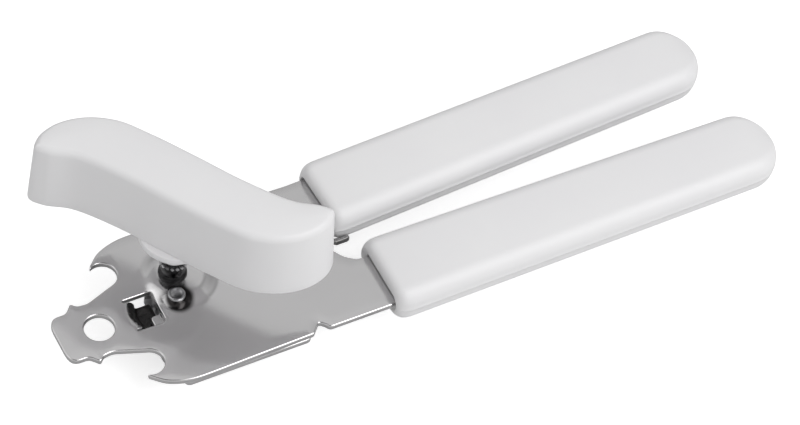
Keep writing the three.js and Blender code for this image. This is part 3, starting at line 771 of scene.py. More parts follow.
def strip_line(share, on_top):
    """Where a share of the strip's length lies, as (x, z) from the bend's start."""
    wall_z = PLATE - TOP_BEND
    fillet_z = FOOT_TOP + FOOT_BEND
    if share < BENT:
        bend = share / BENT
        if on_top:
            return arc((0, wall_z), (TOP_BEND, TOP_BEND), 90, 0, bend)
        return arc((0, wall_z), (TOP_BEND - THIN, -wall_z), 90, 0, bend)
    if share < WALLED:
        part = (share - BENT) / (WALLED - BENT)
        x = TOP_BEND if on_top else TOP_BEND - THIN
        return x, wall_z + (fillet_z - wall_z) * part
    if share < FILLETED:
        bend = (share - WALLED) / (FILLETED - WALLED)
        radius = FOOT_BEND if on_top else FOOT_BEND + THIN
        return arc((TOP_BEND + FOOT_BEND, fillet_z), (radius, radius), 180, 270, bend)
    part = (share - FILLETED) / (1 - FILLETED)
    z = FOOT_TOP if on_top else FOOT_TOP - THIN
    start = TOP_BEND + FOOT_BEND
    return start + (REACH - start) * part, z


print("the strip's foot ends at x =", WINDOW["x0"] + REACH, "mm")


# %% Press the boss
# Each rise has a place and a radius, and a slope: where it starts outside, and how wide it is.
RISES = [((1.2, -0.9), 6.9, 2.3, 3.8), (RIVET, 2.1, 1.2, 1.9)]


def smooth(t):
    t = min(max(t, 0.0), 1.0)
    return t * t * (3 - 2 * t)


def swell(x, y):
    """How far the boss and the rivet's bulge lift the sheet at a point."""
    shares = []
    for (at_x, at_y), radius, start, width in RISES:
        away = math.hypot(x - at_x, y - at_y) - radius
        shares.append(smooth((start - away) / width))
    return (BOSS_TOP - UPPER_TOP) * max(shares)


print("the sheet is lifted by", round(swell(0, 0), 2), "mm at the shaft")

# %% Bend the strip
ROOT_BOW = 1.6


def root_of(y):
    """Where the strip starts to bend: a little earlier in the middle of its width."""
    middle = (WINDOW["y0"] + WINDOW["y1"]) / 2
    half = (WINDOW["y1"] - WINDOW["y0"]) / 2 - STRIP_GAP
    return WINDOW["x0"] - ROOT_BOW * max(0.0, 1 - ((y - middle) / half) ** 2)


def on_strip(x, y):
    return (root_of(y) - 1e-4 < x < STRIP_END + 0.01
            and WINDOW["y0"] + STRIP_GAP - 0.01 < y < WINDOW["y1"] - STRIP_GAP + 0.01)


def upper_face(on_top):
    level = UPPER_TOP if on_top else UPPER_Z

    def place(x, y):
        if on_strip(x, y):
            root = root_of(y)
            share = (x - root) / (STRIP_END - root)
            along, z = strip_line(min(max(share, 0.0), 1.0), on_top)
            return root + along * (WINDOW["x0"] + REACH - root) / REACH, y, UPPER_Z + z
        return x, y, level + swell(x, y)
    return place


print("the strip starts to bend at x =", round(root_of(-6.5), 2), "mm")

# %% Fill the upper lever and close its rims
PAINTED_SHADE_FROM = 0.10  # the share of the strip from which its plating is painted dark as shade
HANGING_X, HANGING_RADIUS = -21, 3.5
SHAFT_HOLE, RIVET_RADIUS = 2.9, 1.3
upper_loops = [
    upper_outline, circle(HANGING_X, NOSE_Y, HANGING_RADIUS), window_loop,
    circle(0, 0, SHAFT_HOLE, 72), circle(*RIVET, RIVET_RADIUS + BORE_GAP, 24),
]
# Grids of inner points, each from corner to corner with its step: strip, boss, and the rest.
upper_grids = [((-15.2, -11.4), (-6, -1.6), 0.35), ((-10, -12), (14, 12), 0.6),
               ((-32, -29), (102, 18), 2.5)]


def on_bend(x, y):
    share = (x - root_of(y)) / (STRIP_END - root_of(y))
    return on_strip(x, y) and share > PAINTED_SHADE_FROM


# The strip's bend and foot get the near-black plating, painted shade and dark reflection.
upper_sheet = sheet_piece("upper_lever_sheet", upper_loops, upper_grids,
                          upper_face(True), upper_face(False), on_bend, strip_painted_shade)
stands_for(upper_sheet, "upper_lever", "upper_lever_body")

# %% [markdown]
# ## The lower lever
# It lies under the first one and swings on the bushing's eccentric journal. Its wing carries the
# cutter's axle. The inner edge of its arm is bent down, which makes the arm stiff.

# %% The lower lever's blank
ARM = {"start": 27.0, "end": 43.8, "outer": -3.5, "thin": 1.2, "bend": 2.6, "drop": 1.7,
       "lip": 0.7}
ARM_EDGE = ARM["outer"] + ARM["bend"]
BEND_LENGTH = 3.4
CUTTER_Y = CUTTER_AT[1]
FLANGE = BEND_LENGTH + (LOWER_Z + PLATE - ARM["bend"]) - (LOWER_Z - ARM["drop"])
lower_mouth = LOWER_GRIP["x"] - SLIDE_GAP
WING_X, WING_END, WING_Y, COLLAR_X = -8.8, 22.5, -26.9, -5.8
lower_corners = [
    (WING_X, WING_Y, 1.5), (WING_END, WING_Y, 1.5), (WING_END, WING_Y + 4.5, 3.0),
    (WING_END - 5, CUTTER_Y - 1.5, 4.0), (WING_END - 2, ARM_EDGE - 3.5, 4.0),
    (ARM["start"], ARM_EDGE, 0.3), (ARM["start"], ARM_EDGE - FLANGE, 1.0),
    (lower_mouth, ARM_EDGE - FLANGE, 0.4), (lower_mouth + 0.6, ARM_EDGE - FLANGE - ARM["lip"], 0.3),
    (ARM["end"], ARM_EDGE - FLANGE - ARM["lip"], 0.5), (ARM["end"], ARM_EDGE - 3.1, 0.4),
    (lower_mouth + 0.02, ARM_EDGE - 3.1, 0.1), (lower_mouth, ARM_EDGE, 0.2),
    *tang(LOWER_GRIP, -1), *tang(LOWER_GRIP, 1),
    (lower_mouth, FAR_Y - 1, 0.8), (lower_mouth - 4.2, FAR_Y - 1.2, 1.0), (COLLAR_X, FAR_Y, 1.0),
    (COLLAR_X - 2, FAR_Y - 1, 1.0), (COLLAR_X - 2, FAR_Y - 4.7, 0.8), (COLLAR_X, FAR_Y - 7.2, 0.8),
    (COLLAR_X, CUTTER_Y / 2 - 0.7, 0.8), (WING_X, CUTTER_Y / 2 - 1, 0.8),
]
print("flange length on the blank:", round(FLANGE, 2), "mm")


# %% Bend the flange
def lower_face(on_top):
    level = LOWER_Z + PLATE if on_top else LOWER_Z
    turn_z = LOWER_Z + PLATE - ARM["bend"]  # level at which the bend has come round
    across = ARM["bend"] if on_top else ARM["bend"] - ARM["thin"]

    def place(x, y):
        length = ARM_EDGE - y
        if x < ARM["start"] - 1e-4 or length <= 0:
            return x, y, level
        angle = min(length / BEND_LENGTH, 1.0) * math.pi / 2
        straight = max(length - BEND_LENGTH, 0.0)
        return (x, ARM_EDGE - across * math.sin(angle),
                level - (level - turn_z) * (1 - math.cos(angle)) - straight)
    return place


print("the flange ends at z =", round(lower_face(True)(30, ARM_EDGE - FLANGE)[2], 2), "mm")

# %% Fill the lower lever and close its rims
JOURNAL_HOLE, AXLE_HOLE = 8.6, 2.4
FOLD_EARLY, FOLD_IN = 0.5, 0.15  # where the painted shade starts along the arm and across its bend
lower_loops = [eased(lower_corners, steps=5), circle(*PIVOT_AT, JOURNAL_HOLE, 96),
               circle(*CUTTER_AT, AXLE_HOLE, 32)]
lower_grids = [((ARM["start"], ARM_EDGE - 6), (44, ARM_EDGE + 0.4), 0.5),
               ((-9, -27), (101, 16), 3.0)]


def on_fold(x, y):
    return x > ARM["start"] - FOLD_EARLY and y < ARM_EDGE - FOLD_IN


# The arm's bent flange takes the dark grey plating, painted shade and dark reflection.
lower_sheet = sheet_piece("lower_lever_sheet", lower_loops, lower_grids,
                          lower_face(True), lower_face(False), on_fold, flange_painted_shade)
stands_for(lower_sheet, "lower_lever", "lower_lever_body")

# %% [markdown]
# ## The grips
# Each grip is moulded over its lever's tang. It is a flat bar with well rounded edges that tapers
# a little to its free end, where the corners are round. The corners of its mouth are drawn in too,
# the outer one a little further than the inner one, and the steel enters through a narrow gap in
# a shallow hollow. A loft through rounded rectangles gives all of that in one closed shape, and
# the inner rings make the pocket.

# %% One section of a grip
GRIP_LENGTH, THICKNESS = 104.1, 10.0
GRIP_EDGE, END_ROUND, MOUTH_ROUND, MOUTH_CORNER = 3.6, 8.3, 2.2, 4.0
MOUTH_DRAW = 1.6  # how far each side of the mouth draws in at its corner
SEAM = 0.07


def section(x, half_width, half_height, edge, steps=9, seam=SEAM):
    """A rounded rectangle at x, with the fine raised seam of the mould along its sides."""
    points = []
    for quarter, (side_y, side_z) in enumerate([(1, -1), (1, 1), (-1, 1), (-1, -1)]):
        if quarter in (1, 3):
            points += [(x, side_y * (half_width + out), side_y * z)
                       for z, out in ((-0.2, 0.0), (-0.1, seam), (0.1, seam), (0.2, 0.0))]
        for step in range(steps + 1):
            angle = (quarter - 1 + step / steps) * math.pi / 2
            points.append((x, side_y * (half_width - edge) + edge * math.cos(angle),
                           side_z * (half_height - edge) + edge * math.sin(angle)))
    return points


print("a section has", len(section(0, 10, 5, GRIP_EDGE)), "points")


# %% All the rings of a grip, from the pocket's end round the mouth to the free end
def grip_rings(place):
    def half_width_at(x):
        return (place["mouth"] + (place["end"] - place["mouth"]) * x / GRIP_LENGTH) / 2

    gap_y, gap_z = TANG_WIDTH / 2 + SLIDE_GAP, PLATE / 2 + SLIDE_GAP
    rings = [section(5.0, gap_y, gap_z, 0.3, seam=0.0), section(0.9, gap_y, gap_z, 0.3, seam=0.0),
             section(0.5, gap_y + 0.04, gap_z + 0.2, 0.4, seam=0.0)]
    for x in (0.0, 0.03, 0.12, 0.28, 0.5, 0.8, 1.2, 1.7, 2.2, 2.8, 3.4, MOUTH_CORNER):
        short = 1 - math.sqrt(max(0.0, 1 - (1 - min(x / MOUTH_ROUND, 1)) ** 2))
        long = 1 - math.sqrt(max(0.0, 1 - (1 - x / MOUTH_CORNER) ** 2))
        half = half_width_at(x) - MOUTH_DRAW * long
        height = THICKNESS / 2 - MOUTH_ROUND * short
        aside = place["skew"] * long  # the outer corner draws in further than the inner one
        rings.append([(x, y + aside, z) for x, y, z in
                      section(x, half, height, min(GRIP_EDGE, height - 0.3))])
    for x in range(8, int(GRIP_LENGTH - END_ROUND), 6):
        rings.append(section(x, half_width_at(x), THICKNESS / 2, GRIP_EDGE))
    for step in range(15):
        angle = math.pi / 2 * step / 14
        x = GRIP_LENGTH - END_ROUND * (1 - math.sin(angle))
        half = half_width_at(x) - END_ROUND * (1 - math.cos(angle))
        height = THICKNESS / 2 - GRIP_EDGE * (1 - math.cos(angle))
        seam = SEAM if step < 13 else 0.0
        rings.append(section(x, half, height, min(GRIP_EDGE, height - 0.25, half - 0.1), seam=seam))
    return rings


print("a grip has", len(grip_rings(UPPER_GRIP)), "rings")


# %% Mould both grips
for side, place, plate_z in (("upper", UPPER_GRIP, UPPER_Z), ("lower", LOWER_GRIP, LOWER_Z)):
    vertices, faces = loft(grip_rings(place))
    turn = Matrix.Rotation(math.radians(place["turn"]), 4, "Z")
    shift = Matrix.Translation((place["x"], place["y"], plate_z + PLATE / 2))
    placed = [tuple(shift @ turn @ Vector(v)) for v in vertices]
    stands_for(make_piece(side + "_grip_moulding", placed, faces, plastic),
               side + "_grip", side + "_lever_body")

# %% [markdown]
# ## The crank knob
# A long knob with a lazy S outline, the same when it is turned half round, apart from a slight
# shift off the shaft. Its sides lean in a little so that it leaves the mould, its top edge is
# rounded and its top is very slightly crowned. A curve through a few points gives the outline,
# and each ring of the loft moves it in.

# %% The knob's outline
KNOB_LOW, KNOB_HEIGHT, KNOB_LEAN, KNOB_REACH = UPPER_TOP + 17, 19.7, 0.5, 33.0
TOP_ROUND, FOOT_ROUND = 2.0, 0.8
KNOB_AHEAD, KNOB_ASIDE, KNOB_BROADER = 0.6, 0.7, 0.08  # its shift, and how much wider it is
half_turn = [(-5.8, -4), (1.2, -14), (6.6, -20.6), (13.2, -24.6), (20, -25.7), (25.2, -24),
             (27.3, -20.8), (25, -17.8), (19.7, -14.2), (12, -5)]
knob_along, knob_across = Vector((0.668, -0.744)), Vector((0.744, 0.668))
whole_turn = [Vector(p) for p in half_turn] + [-Vector(p) for p in half_turn]
whole_turn = [p + KNOB_AHEAD * knob_along
              + (KNOB_ASIDE + KNOB_BROADER * p.dot(knob_across)) * knob_across
              for p in whole_turn]
print("the knob's outline is drawn through", len(whole_turn), "points")


def through(points, samples):
    """A closed centripetal curve through the points, with its directions."""
    count, made = len(points), []
    for index in range(samples):
        place = index / samples * count
        start = int(place)
        p = [points[(start + k - 1) % count] for k in range(4)]
        d = [max((p[k + 1] - p[k]).length, 1e-6) ** 0.5 for k in range(3)]
        first = (p[1] - p[0]) / d[0] - (p[2] - p[0]) / (d[0] + d[1]) + (p[2] - p[1]) / d[1]
        last = (p[2] - p[1]) / d[1] - (p[3] - p[1]) / (d[1] + d[2]) + (p[3] - p[2]) / d[2]
        first, last, t = first * d[1], last * d[1], place - start
        c2 = 3 * (p[2] - p[1]) - 2 * first - last
        c3 = 2 * (p[1] - p[2]) + first + last
        made.append((p[1] + first * t + c2 * t * t + c3 * t ** 3,
                     (first + 2 * c2 * t + 3 * c3 * t * t).normalized()))
    return made


knob_line = through(whole_turn, 240)
print("knob outline:", len(knob_line), "points")


# %% Loft the knob
def knob_ring(inset, lean, z):
    """The outline moved in by inset, and by lean, which doubles towards the ends."""
    ring = []
    for point, along in knob_line:
        move = inset + lean * (1 + (point.length / KNOB_REACH) ** 2)
        ring.append((point.x - along.y * move, point.y + along.x * move, z))
    return ring


CROWN, CROWN_WIDTH = 0.35, 5.0
knob_top = KNOB_LOW + KNOB_HEIGHT
knob_rings = []
for step in range(6):
    angle = math.pi / 2 * step / 5
    knob_rings.append(knob_ring(FOOT_ROUND * (1 - math.sin(angle)), 0.0,
                                KNOB_LOW + FOOT_ROUND * (1 - math.cos(angle))))
for step in range(1, 5):
    share = step / 5
    z = KNOB_LOW + FOOT_ROUND + (KNOB_HEIGHT - FOOT_ROUND - TOP_ROUND) * share
    knob_rings.append(knob_ring(0.0, KNOB_LEAN * share, z))
for step in range(9):
    angle = math.pi / 2 * step / 8 * 0.94  # short of a quarter turn, so the crown goes on rising
    knob_rings.append(knob_ring(0.8 * TOP_ROUND * (1 - math.cos(angle)), KNOB_LEAN,
                                knob_top - CROWN - TOP_ROUND * (1 - math.sin(angle))))
knob_vertices, knob_faces = loft(knob_rings)
print("the knob has", len(knob_rings), "rings")

# %% Close the knob's crowned top
knob_faces.pop()
rim = [(x, y) for x, y, _ in knob_rings[-1]]
rim_z = knob_rings[-1][0][2]
cap, cap_faces = fill_outline([rim], [((-30, -30), (30, 30), 1.0)])
rim_array = np.array(rim)
first = len(knob_vertices)
for x, y in cap:
    away = float(np.min(np.hypot(rim_array[:, 0] - x, rim_array[:, 1] - y)))
    rise = (knob_top - rim_z) * (1 - max(0.0, 1 - away / CROWN_WIDTH) ** 2)
    knob_vertices.append((x, y, rim_z + rise))
knob_faces += [[first + i for i in face] for face in cap_faces]
print("knob top at", round(knob_top, 2), "mm")

# %% The hub under the knob, with the bore for the shaft's six-sided head
NECK_LOW, NECK_HIGH = UPPER_TOP - 0.6, BOSS_TOP + 4.3  # the bushing's neck
WASHER_LOW = NECK_HIGH + SLIDE_GAP
HUB_LOW = WASHER_LOW + 1.5 + SLIDE_GAP
BORE_TOP, BORE_RADIUS = HUB_LOW + 18.0, 1.85 + BORE_GAP
RIM_LOW, HUB_TOP = KNOB_LOW - 1.7, KNOB_LOW + 0.4
hub_line = eased([
    (BORE_RADIUS, HUB_LOW, 0), (3.2, HUB_LOW, 0.3), (3.2, RIM_LOW, 0.5), (8.5, RIM_LOW, 0.7),
    (8.5, HUB_TOP, 0.3), (2.9, HUB_TOP, 0), (2.9, BORE_TOP + 0.8, 0),
    (0.0, BORE_TOP + 0.8, 0), (0.0, BORE_TOP, 0), (BORE_RADIUS, BORE_TOP, 0)], 5)
hub_vertices, hub_faces = lathe(hub_line)
first = len(knob_vertices)
knob = make_piece("crank_knob_moulding", knob_vertices + hub_vertices,
                  knob_faces + [[first + i for i in face] for face in hub_faces], plastic)
stands_for(knob, "crank_knob", "crank_body")

# %% [markdown]
# ## The pivot bushing and its rivet
# The bushing is the heart of the opener. Below, a wide journal carries the lower lever. It stands
# off the drive shaft's axis, so that swinging the lever brings the two wheels together. Above, a
# slim dark neck guides the shaft. The real one is pressed and turned in one. Here the journal and
# its flange are a copy of the solid, cut off above the flange, and the neck is a turned profile
# that starts inside them, so the two look like one forging.


# %% A merged copy of a solid, for a shape that is hidden or already right
def copy_of(node):
    """The solid's triangles, with the doubled corners merged and the normals outward."""
    work = bmesh.new()
    work.from_mesh(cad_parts[node].data)
    bmesh.ops.remove_doubles(work, verts=work.verts, dist=1e-6)
    bmesh.ops.dissolve_limit(work, angle_limit=math.radians(1), verts=work.verts,
                             edges=work.edges)
    bmesh.ops.recalc_face_normals(work, faces=work.faces)
    return work


def piece_from(work, name, material, edge):
    for face in work.faces:
        face.smooth = True
    mesh = bpy.data.meshes.new(name)
    work.to_mesh(mesh)
    work.free()
    mesh.materials.clear()
    mesh.materials.append(material)
    mesh.set_sharp_from_angle(angle=math.radians(SHARP_CUT))
    piece = add_object(name, mesh)
    round_edges(piece, edge, 35.0)
    return piece


print("the bushing's solid has", len(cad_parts["pivot_bushing"].data.polygons), "triangles")

# %% The bushing's journal and flange, from the solid
work = copy_of("pivot_bushing")
cut = bmesh.ops.bisect_plane(work, geom=work.verts[:] + work.edges[:] + work.faces[:],
                             plane_co=(0, 0, (UPPER_TOP - 0.3) * MM), plane_no=(0, 0, 1),
                             clear_outer=True)
edges = [e for e in cut["geom_cut"] if isinstance(e, bmesh.types.BMEdge)]
bmesh.ops.triangle_fill(work, edges=edges, use_beauty=True)
bmesh.ops.recalc_face_normals(work, faces=work.faces)
bushing = piece_from(work, "pivot_bushing_journal", ring_steel, 0.12)
stands_for(bushing, "pivot_bushing", "upper_lever_body")

# %% The bushing's turned neck
SHAFT_BORE = 2.1
neck_line = eased([
    (SHAFT_BORE, NECK_LOW, 0), (2.8, NECK_LOW, 0), (2.8, BOSS_TOP + 0.02, 0),
    (3.3, BOSS_TOP + 0.02, 0.06), (3.3, BOSS_TOP + 0.4, 0.15),
    (2.75, BOSS_TOP + 1.3, 0.5), (2.75, NECK_HIGH, 0.2), (SHAFT_BORE, NECK_HIGH, 0.1)], 4)
# The neck's near-black finish is painted shade and dark reflection.
neck = make_piece("pivot_bushing_neck", *lathe(neck_line, sides=128), neck_painted_dark)
stands_for(neck, "pivot_bushing", "upper_lever_body")

# %% [markdown]
# The rivet pins the bushing's lug to the upper lever. A punch spreads its head, which leaves a
# raised bright rim round a rough, darker hollow.

# %% The rivet
head_line = [(1.98, 0.0), (2.05, 0.12), (2.03, 0.36), (1.92, 0.56), (1.72, 0.68), (1.46, 0.68),
             (1.22, 0.56), (0.95, 0.4), (0.55, 0.33), (0.0, 0.3)]  # radius, height on the boss
rivet_line = [(0.0, UPPER_Z), (RIVET_RADIUS, UPPER_Z), (RIVET_RADIUS, BOSS_TOP)]
rivet_line += [(radius, BOSS_TOP + height) for radius, height in head_line]
rivet = make_piece("bushing_rivet_head", *lathe(rivet_line, RIVET, 72), rivet_steel)
stands_for(rivet, "bushing_rivet", "upper_lever_body")

# %% [markdown]
# ## Toothed pieces
# Two gears, the feed wheel and the toothed washer all repeat one tooth round a circle, so they
# are the work of Geometry Nodes. A gear's flat outline is a circle of many points whose radius
# follows the point's place between two teeth: at the root it is small, at the tip it is large.
# The outline and the bore are filled, pushed up to the gear's height and closed underneath. One
# tree with named inputs makes every wheel, and only the numbers change.


# %% Nodes that both trees need
def joined(tree, *shapes):
    """Several shapes in one."""
    node = add_node(tree, "GeometryNodeJoinGeometry")
    for shape in shapes:
        tree.links.new(shape, node.inputs[0])
    return node.outputs[0]


def raised(tree, rims, height):
    """Closed curves filled, pushed up to the height, closed underneath and merged."""
    flat = wire(tree, "GeometryNodeFillCurve", ("Curve", rims))
    top = wire(tree, "GeometryNodeExtrudeMesh", ("Mesh", flat), ("Offset", xyz(tree, Z=height)),
               ("Offset Scale", 1.0), ("Individual", False), mode="FACES")
    under = wire(tree, "GeometryNodeFlipFaces", ("Mesh", flat))
    return wire(tree, "GeometryNodeMergeByDistance", ("Geometry", joined(tree, under, top)),
                ("Distance", 1e-6))


def moved(tree, shape, **change):
    """The shape after a Translation or a Rotation."""
    return wire(tree, "GeometryNodeTransform", ("Geometry", shape), *change.items())


print("a shape is built by", [maker.__name__ for maker in (joined, raised, moved)])


# %% The tree for gears and the feed wheel
def wheel_tree():
    tree, given, result = group_tree("GeometryNodeTree", "toothed_wheel", [
        ("Teeth", "Int", 12), ("Steps", "Int", 20), ("Root Radius", "Float", 0.005),
        ("Tip Radius", "Float", 0.006), ("Root Share", "Float", 0.3),
        ("Tip Share", "Float", 0.1), ("Height", "Float", 0.002), ("Bore Radius", "Float", 0.002),
        ("Bore Sides", "Int", 4), ("Bore Turn", "Float", 0.785398), ("Turn", "Float", 0.0),
        ("Centre", "Vector", (0, 0, 0)), ("Finish", "Material", None)], ("Geometry", "Geometry"))
    total = calc(tree, "MULTIPLY", given["Teeth"], given["Steps"])
    outline = wire(tree, "GeometryNodeCurvePrimitiveCircle", ("Resolution", total),
                   ("Radius", 1.0), mode="RADIUS")
    index = wire(tree, "GeometryNodeInputIndex")
    place = calc(tree, "FRACT", calc(tree, "DIVIDE", index, given["Steps"]))
    away = calc(tree, "ABSOLUTE", calc(tree, "SUBTRACT", place, 0.5))
    flank = calc(tree, "SUBTRACT", 0.5, calc(tree, "MULTIPLY", given["Root Share"], 0.5))
    crest = calc(tree, "SUBTRACT", 0.5, calc(tree, "MULTIPLY", given["Tip Share"], 0.5))
    radius = wire(tree, "ShaderNodeMapRange", (0, away), (1, flank), (2, crest),
                  (3, given["Root Radius"]), (4, given["Tip Radius"]),
                  interpolation_type="SMOOTHSTEP")
    where = wire(tree, "ShaderNodeVectorMath", (0, wire(tree, "GeometryNodeInputPosition")),
                 ("Scale", radius), operation="SCALE")
    outline = wire(tree, "GeometryNodeSetPosition", ("Geometry", outline), ("Position", where))
    outline = moved(tree, outline, Rotation=xyz(tree, Z=given["Turn"]))
    hole = wire(tree, "GeometryNodeCurvePrimitiveCircle", ("Resolution", given["Bore Sides"]),
                ("Radius", given["Bore Radius"]), mode="RADIUS")
    hole = moved(tree, hole, Rotation=xyz(tree, Z=given["Bore Turn"]))
    solid = raised(tree, joined(tree, hole, outline), given["Height"])
    placed = moved(tree, solid, Translation=given["Centre"])
    real = wire(tree, "GeometryNodeRealizeInstances", ("Geometry", placed))
    tree.links.new(wire(tree, "GeometryNodeSetMaterial", ("Geometry", real),
                        ("Material", given["Finish"])), result)
    return tree


wheel_maker = wheel_tree()
print("wheel tree has", len(wheel_maker.nodes), "nodes")


# %% Run a tree and keep the result as a plain mesh
def grown(name, tree, values, edge):
    """The tree's shape with its edges rounded; each input is set by its identifier."""
    piece = add_object(name, bpy.data.meshes.new(name))
    maker = piece.modifiers.new("maker", "NODES")
    maker.node_group = tree
    for item in tree.interface.items_tree:
        if item.item_type == "SOCKET" and item.in_out == "INPUT" and item.name in values:
            maker[item.identifier] = values[item.name]
    settle(piece)
    for polygon in piece.data.polygons:
        polygon.use_smooth = True
    piece.data.set_sharp_from_angle(angle=math.radians(SHARP_CUT))
    round_edges(piece, edge, 50.0)
    return piece


def wheel(name, teeth, root, tip, shares, low, height, bore, sides, centre, turn, material):
    """Radii and heights in millimetres; shares are a tooth's widths over the pitch."""
    return grown(name, wheel_maker, {
        "Teeth": teeth, "Steps": 24, "Root Radius": root * MM, "Tip Radius": tip * MM,
        "Root Share": shares[0], "Tip Share": shares[1], "Height": height * MM,
        "Bore Radius": bore * MM, "Bore Sides": sides, "Bore Turn": math.pi / sides,
        "Turn": turn, "Centre": (centre[0] * MM, centre[1] * MM, low * MM),
        "Finish": material}, edge=0.08)


print("the tree's inputs:", [item.name for item in wheel_maker.interface.items_tree][1:])

# %% The two gears and the feed wheel
GEAR_LOW, GEAR_HEIGHT = 7.0, 2.2
FEED_LOW, FEED_HEIGHT = 3.8, 3.2
SQUARE_BORE = 1.5 * math.sqrt(2)
CUTTER_BORE = 2.6
drive_gear = wheel("drive_gear_teeth", 12, 5.15, 6.55, (0.62, 0.16), GEAR_LOW, GEAR_HEIGHT,
                   SQUARE_BORE, 4, (0, 0), 0.0, drive_steel)
stands_for(drive_gear, "drive_gear", "crank_body")
cutter_gear = wheel("cutter_gear_teeth", 14, 6.15, 7.55, (0.60, 0.16), GEAR_LOW, GEAR_HEIGHT,
                    CUTTER_BORE, 48, CUTTER_AT, math.pi / 2 + math.pi / 14, cutter_steel)
stands_for(cutter_gear, "cutter_gear", "cutter_body")
feed = wheel("feed_wheel_teeth", 24, 5.3, 5.8, (0.8, 0.2), FEED_LOW, FEED_HEIGHT,
             SQUARE_BORE, 4, (0, 0), 0.0, drive_steel)
stands_for(feed, "feed_wheel", "crank_body")

# %% [markdown]
# The toothed washer locks the knob's hub to the steel. It is a thin ring with short teeth that
# stand twisted out of its plane, and that makes it glitter. One twisted tooth is copied round.
# Its faces are marked first, so that they can have a finish of their own when all is real.


# %% The tree for the toothed washer
def washer_tree():
    tree, given, result = group_tree("GeometryNodeTree", "toothed_washer", [
        ("Teeth", "Int", 16), ("Inner Radius", "Float", 0.002), ("Ring Radius", "Float", 0.004),
        ("Tooth Place", "Float", 0.0042), ("Tooth Size", "Vector", (0.001, 0.001, 0.0005)),
        ("Twist", "Float", 0.6), ("Height", "Float", 0.0005), ("Tooth Level", "Float", 0.0004),
        ("Low", "Float", 0.02), ("Finish", "Material", None),
        ("Tooth Finish", "Material", None)], ("Geometry", "Geometry"))
    rims = [wire(tree, "GeometryNodeCurvePrimitiveCircle", ("Resolution", 64),
                 ("Radius", given[socket]), mode="RADIUS")
            for socket in ("Inner Radius", "Ring Radius")]
    ring = raised(tree, joined(tree, *rims), given["Height"])
    tooth = wire(tree, "GeometryNodeMeshCube", ("Size", given["Tooth Size"]))
    tooth = moved(tree, tooth, Rotation=xyz(tree, X=given["Twist"]))
    tooth = moved(tree, tooth, Translation=xyz(tree, X=given["Tooth Place"],
                                               Z=given["Tooth Level"]))
    tooth = wire(tree, "GeometryNodeStoreNamedAttribute", ("Geometry", tooth),
                 ("Name", "tooth"), ("Value", True), data_type="BOOLEAN", domain="FACE")
    share = calc(tree, "DIVIDE", wire(tree, "GeometryNodeInputIndex"), given["Teeth"])
    angle = calc(tree, "MULTIPLY", share, 2 * math.pi)
    teeth = wire(tree, "GeometryNodeInstanceOnPoints",
                 ("Points", wire(tree, "GeometryNodePoints", ("Count", given["Teeth"]))),
                 ("Instance", tooth), ("Rotation", xyz(tree, Z=angle)))
    placed = moved(tree, joined(tree, teeth, ring), Translation=xyz(tree, Z=given["Low"]))
    real = wire(tree, "GeometryNodeRealizeInstances", ("Geometry", placed))
    marked = wire(tree, "GeometryNodeInputNamedAttribute", ("Name", "tooth"),
                  data_type="BOOLEAN")
    plain = wire(tree, "GeometryNodeSetMaterial", ("Geometry", real),
                 ("Material", given["Finish"]))
    tree.links.new(wire(tree, "GeometryNodeSetMaterial", ("Geometry", plain),
                        ("Selection", marked), ("Material", given["Tooth Finish"])), result)
    return tree


washer_maker = washer_tree()
print("washer tree has", len(washer_maker.nodes), "nodes")

# %% The toothed washer
# The ring takes the near-black neck finish, painted shade for the dark gap under the hub; its teeth
# are bright steel.
washer = grown("toothed_washer_ring", washer_maker, {
    "Teeth": 18, "Inner Radius": SHAFT_BORE * MM, "Ring Radius": 3.1 * MM,
    "Tooth Place": 3.02 * MM, "Tooth Size": (0.86 * MM, 0.6 * MM, 0.7 * MM), "Twist": 0.6,
    "Height": 1.45 * MM, "Tooth Level": 0.4 * MM, "Low": (WASHER_LOW + 0.02) * MM,
    "Finish": neck_painted_dark, "Tooth Finish": bright}, edge=0.05)
stands_for(washer, "toothed_washer", "crank_body")

# %% [markdown]
# ## The small turned pieces
# Everything else on the two axles comes off a lathe or a press: the cutter wheel with its ground
# bevel, the spacer, three washers, the axle and its screw, the shaft and its nut.

# %% The cutter wheel, the washers and the axle
def ring(inner, outer, low, high):
    """The closed line of a plain ring."""
    return [(inner, low), (outer, low), (outer, high), (inner, high)]


CUTTER_LOW, CUTTER_TOP, GEAR_TOP = 2.2, 3.4, GEAR_LOW + GEAR_HEIGHT
axle_line = [(0.0, 6.2), (1.2, 6.2), (1.2, 1.9), (2.4, 1.9), (2.4, 9.5), (3.2, 9.5), (3.2, 11.1),
             (2.2, 11.1), (2.2, 12.7), (0.0, 12.7)]
cutter = turned("cutter_wheel_disc", [
    (CUTTER_BORE, CUTTER_LOW), (6.3, CUTTER_LOW), (8.0, CUTTER_TOP - 0.15), (8.0, CUTTER_TOP),
    (CUTTER_BORE, CUTTER_TOP)], cutter_steel, CUTTER_AT, 128, 0.03)
spacer = turned("cutter_spacer_ring", ring(CUTTER_BORE, 3.6, CUTTER_TOP, GEAR_LOW),
                axle_steel, CUTTER_AT, 72)
thrust = turned("thrust_washer_ring", ring(SHAFT_BORE, 5.0, GEAR_TOP, 9.7), bright, edge=0.1)
lock = turned("lock_washer_ring", ring(1.4, 3.2, 3.2, FEED_LOW), bright)
retainer = turned("lever_retaining_washer", ring(JOURNAL_HOLE, 10.0, 10.0, 10.8), ring_steel,
                  PIVOT_AT)
axle = turned("cutter_axle_pin", axle_line, axle_steel, CUTTER_AT, 72)
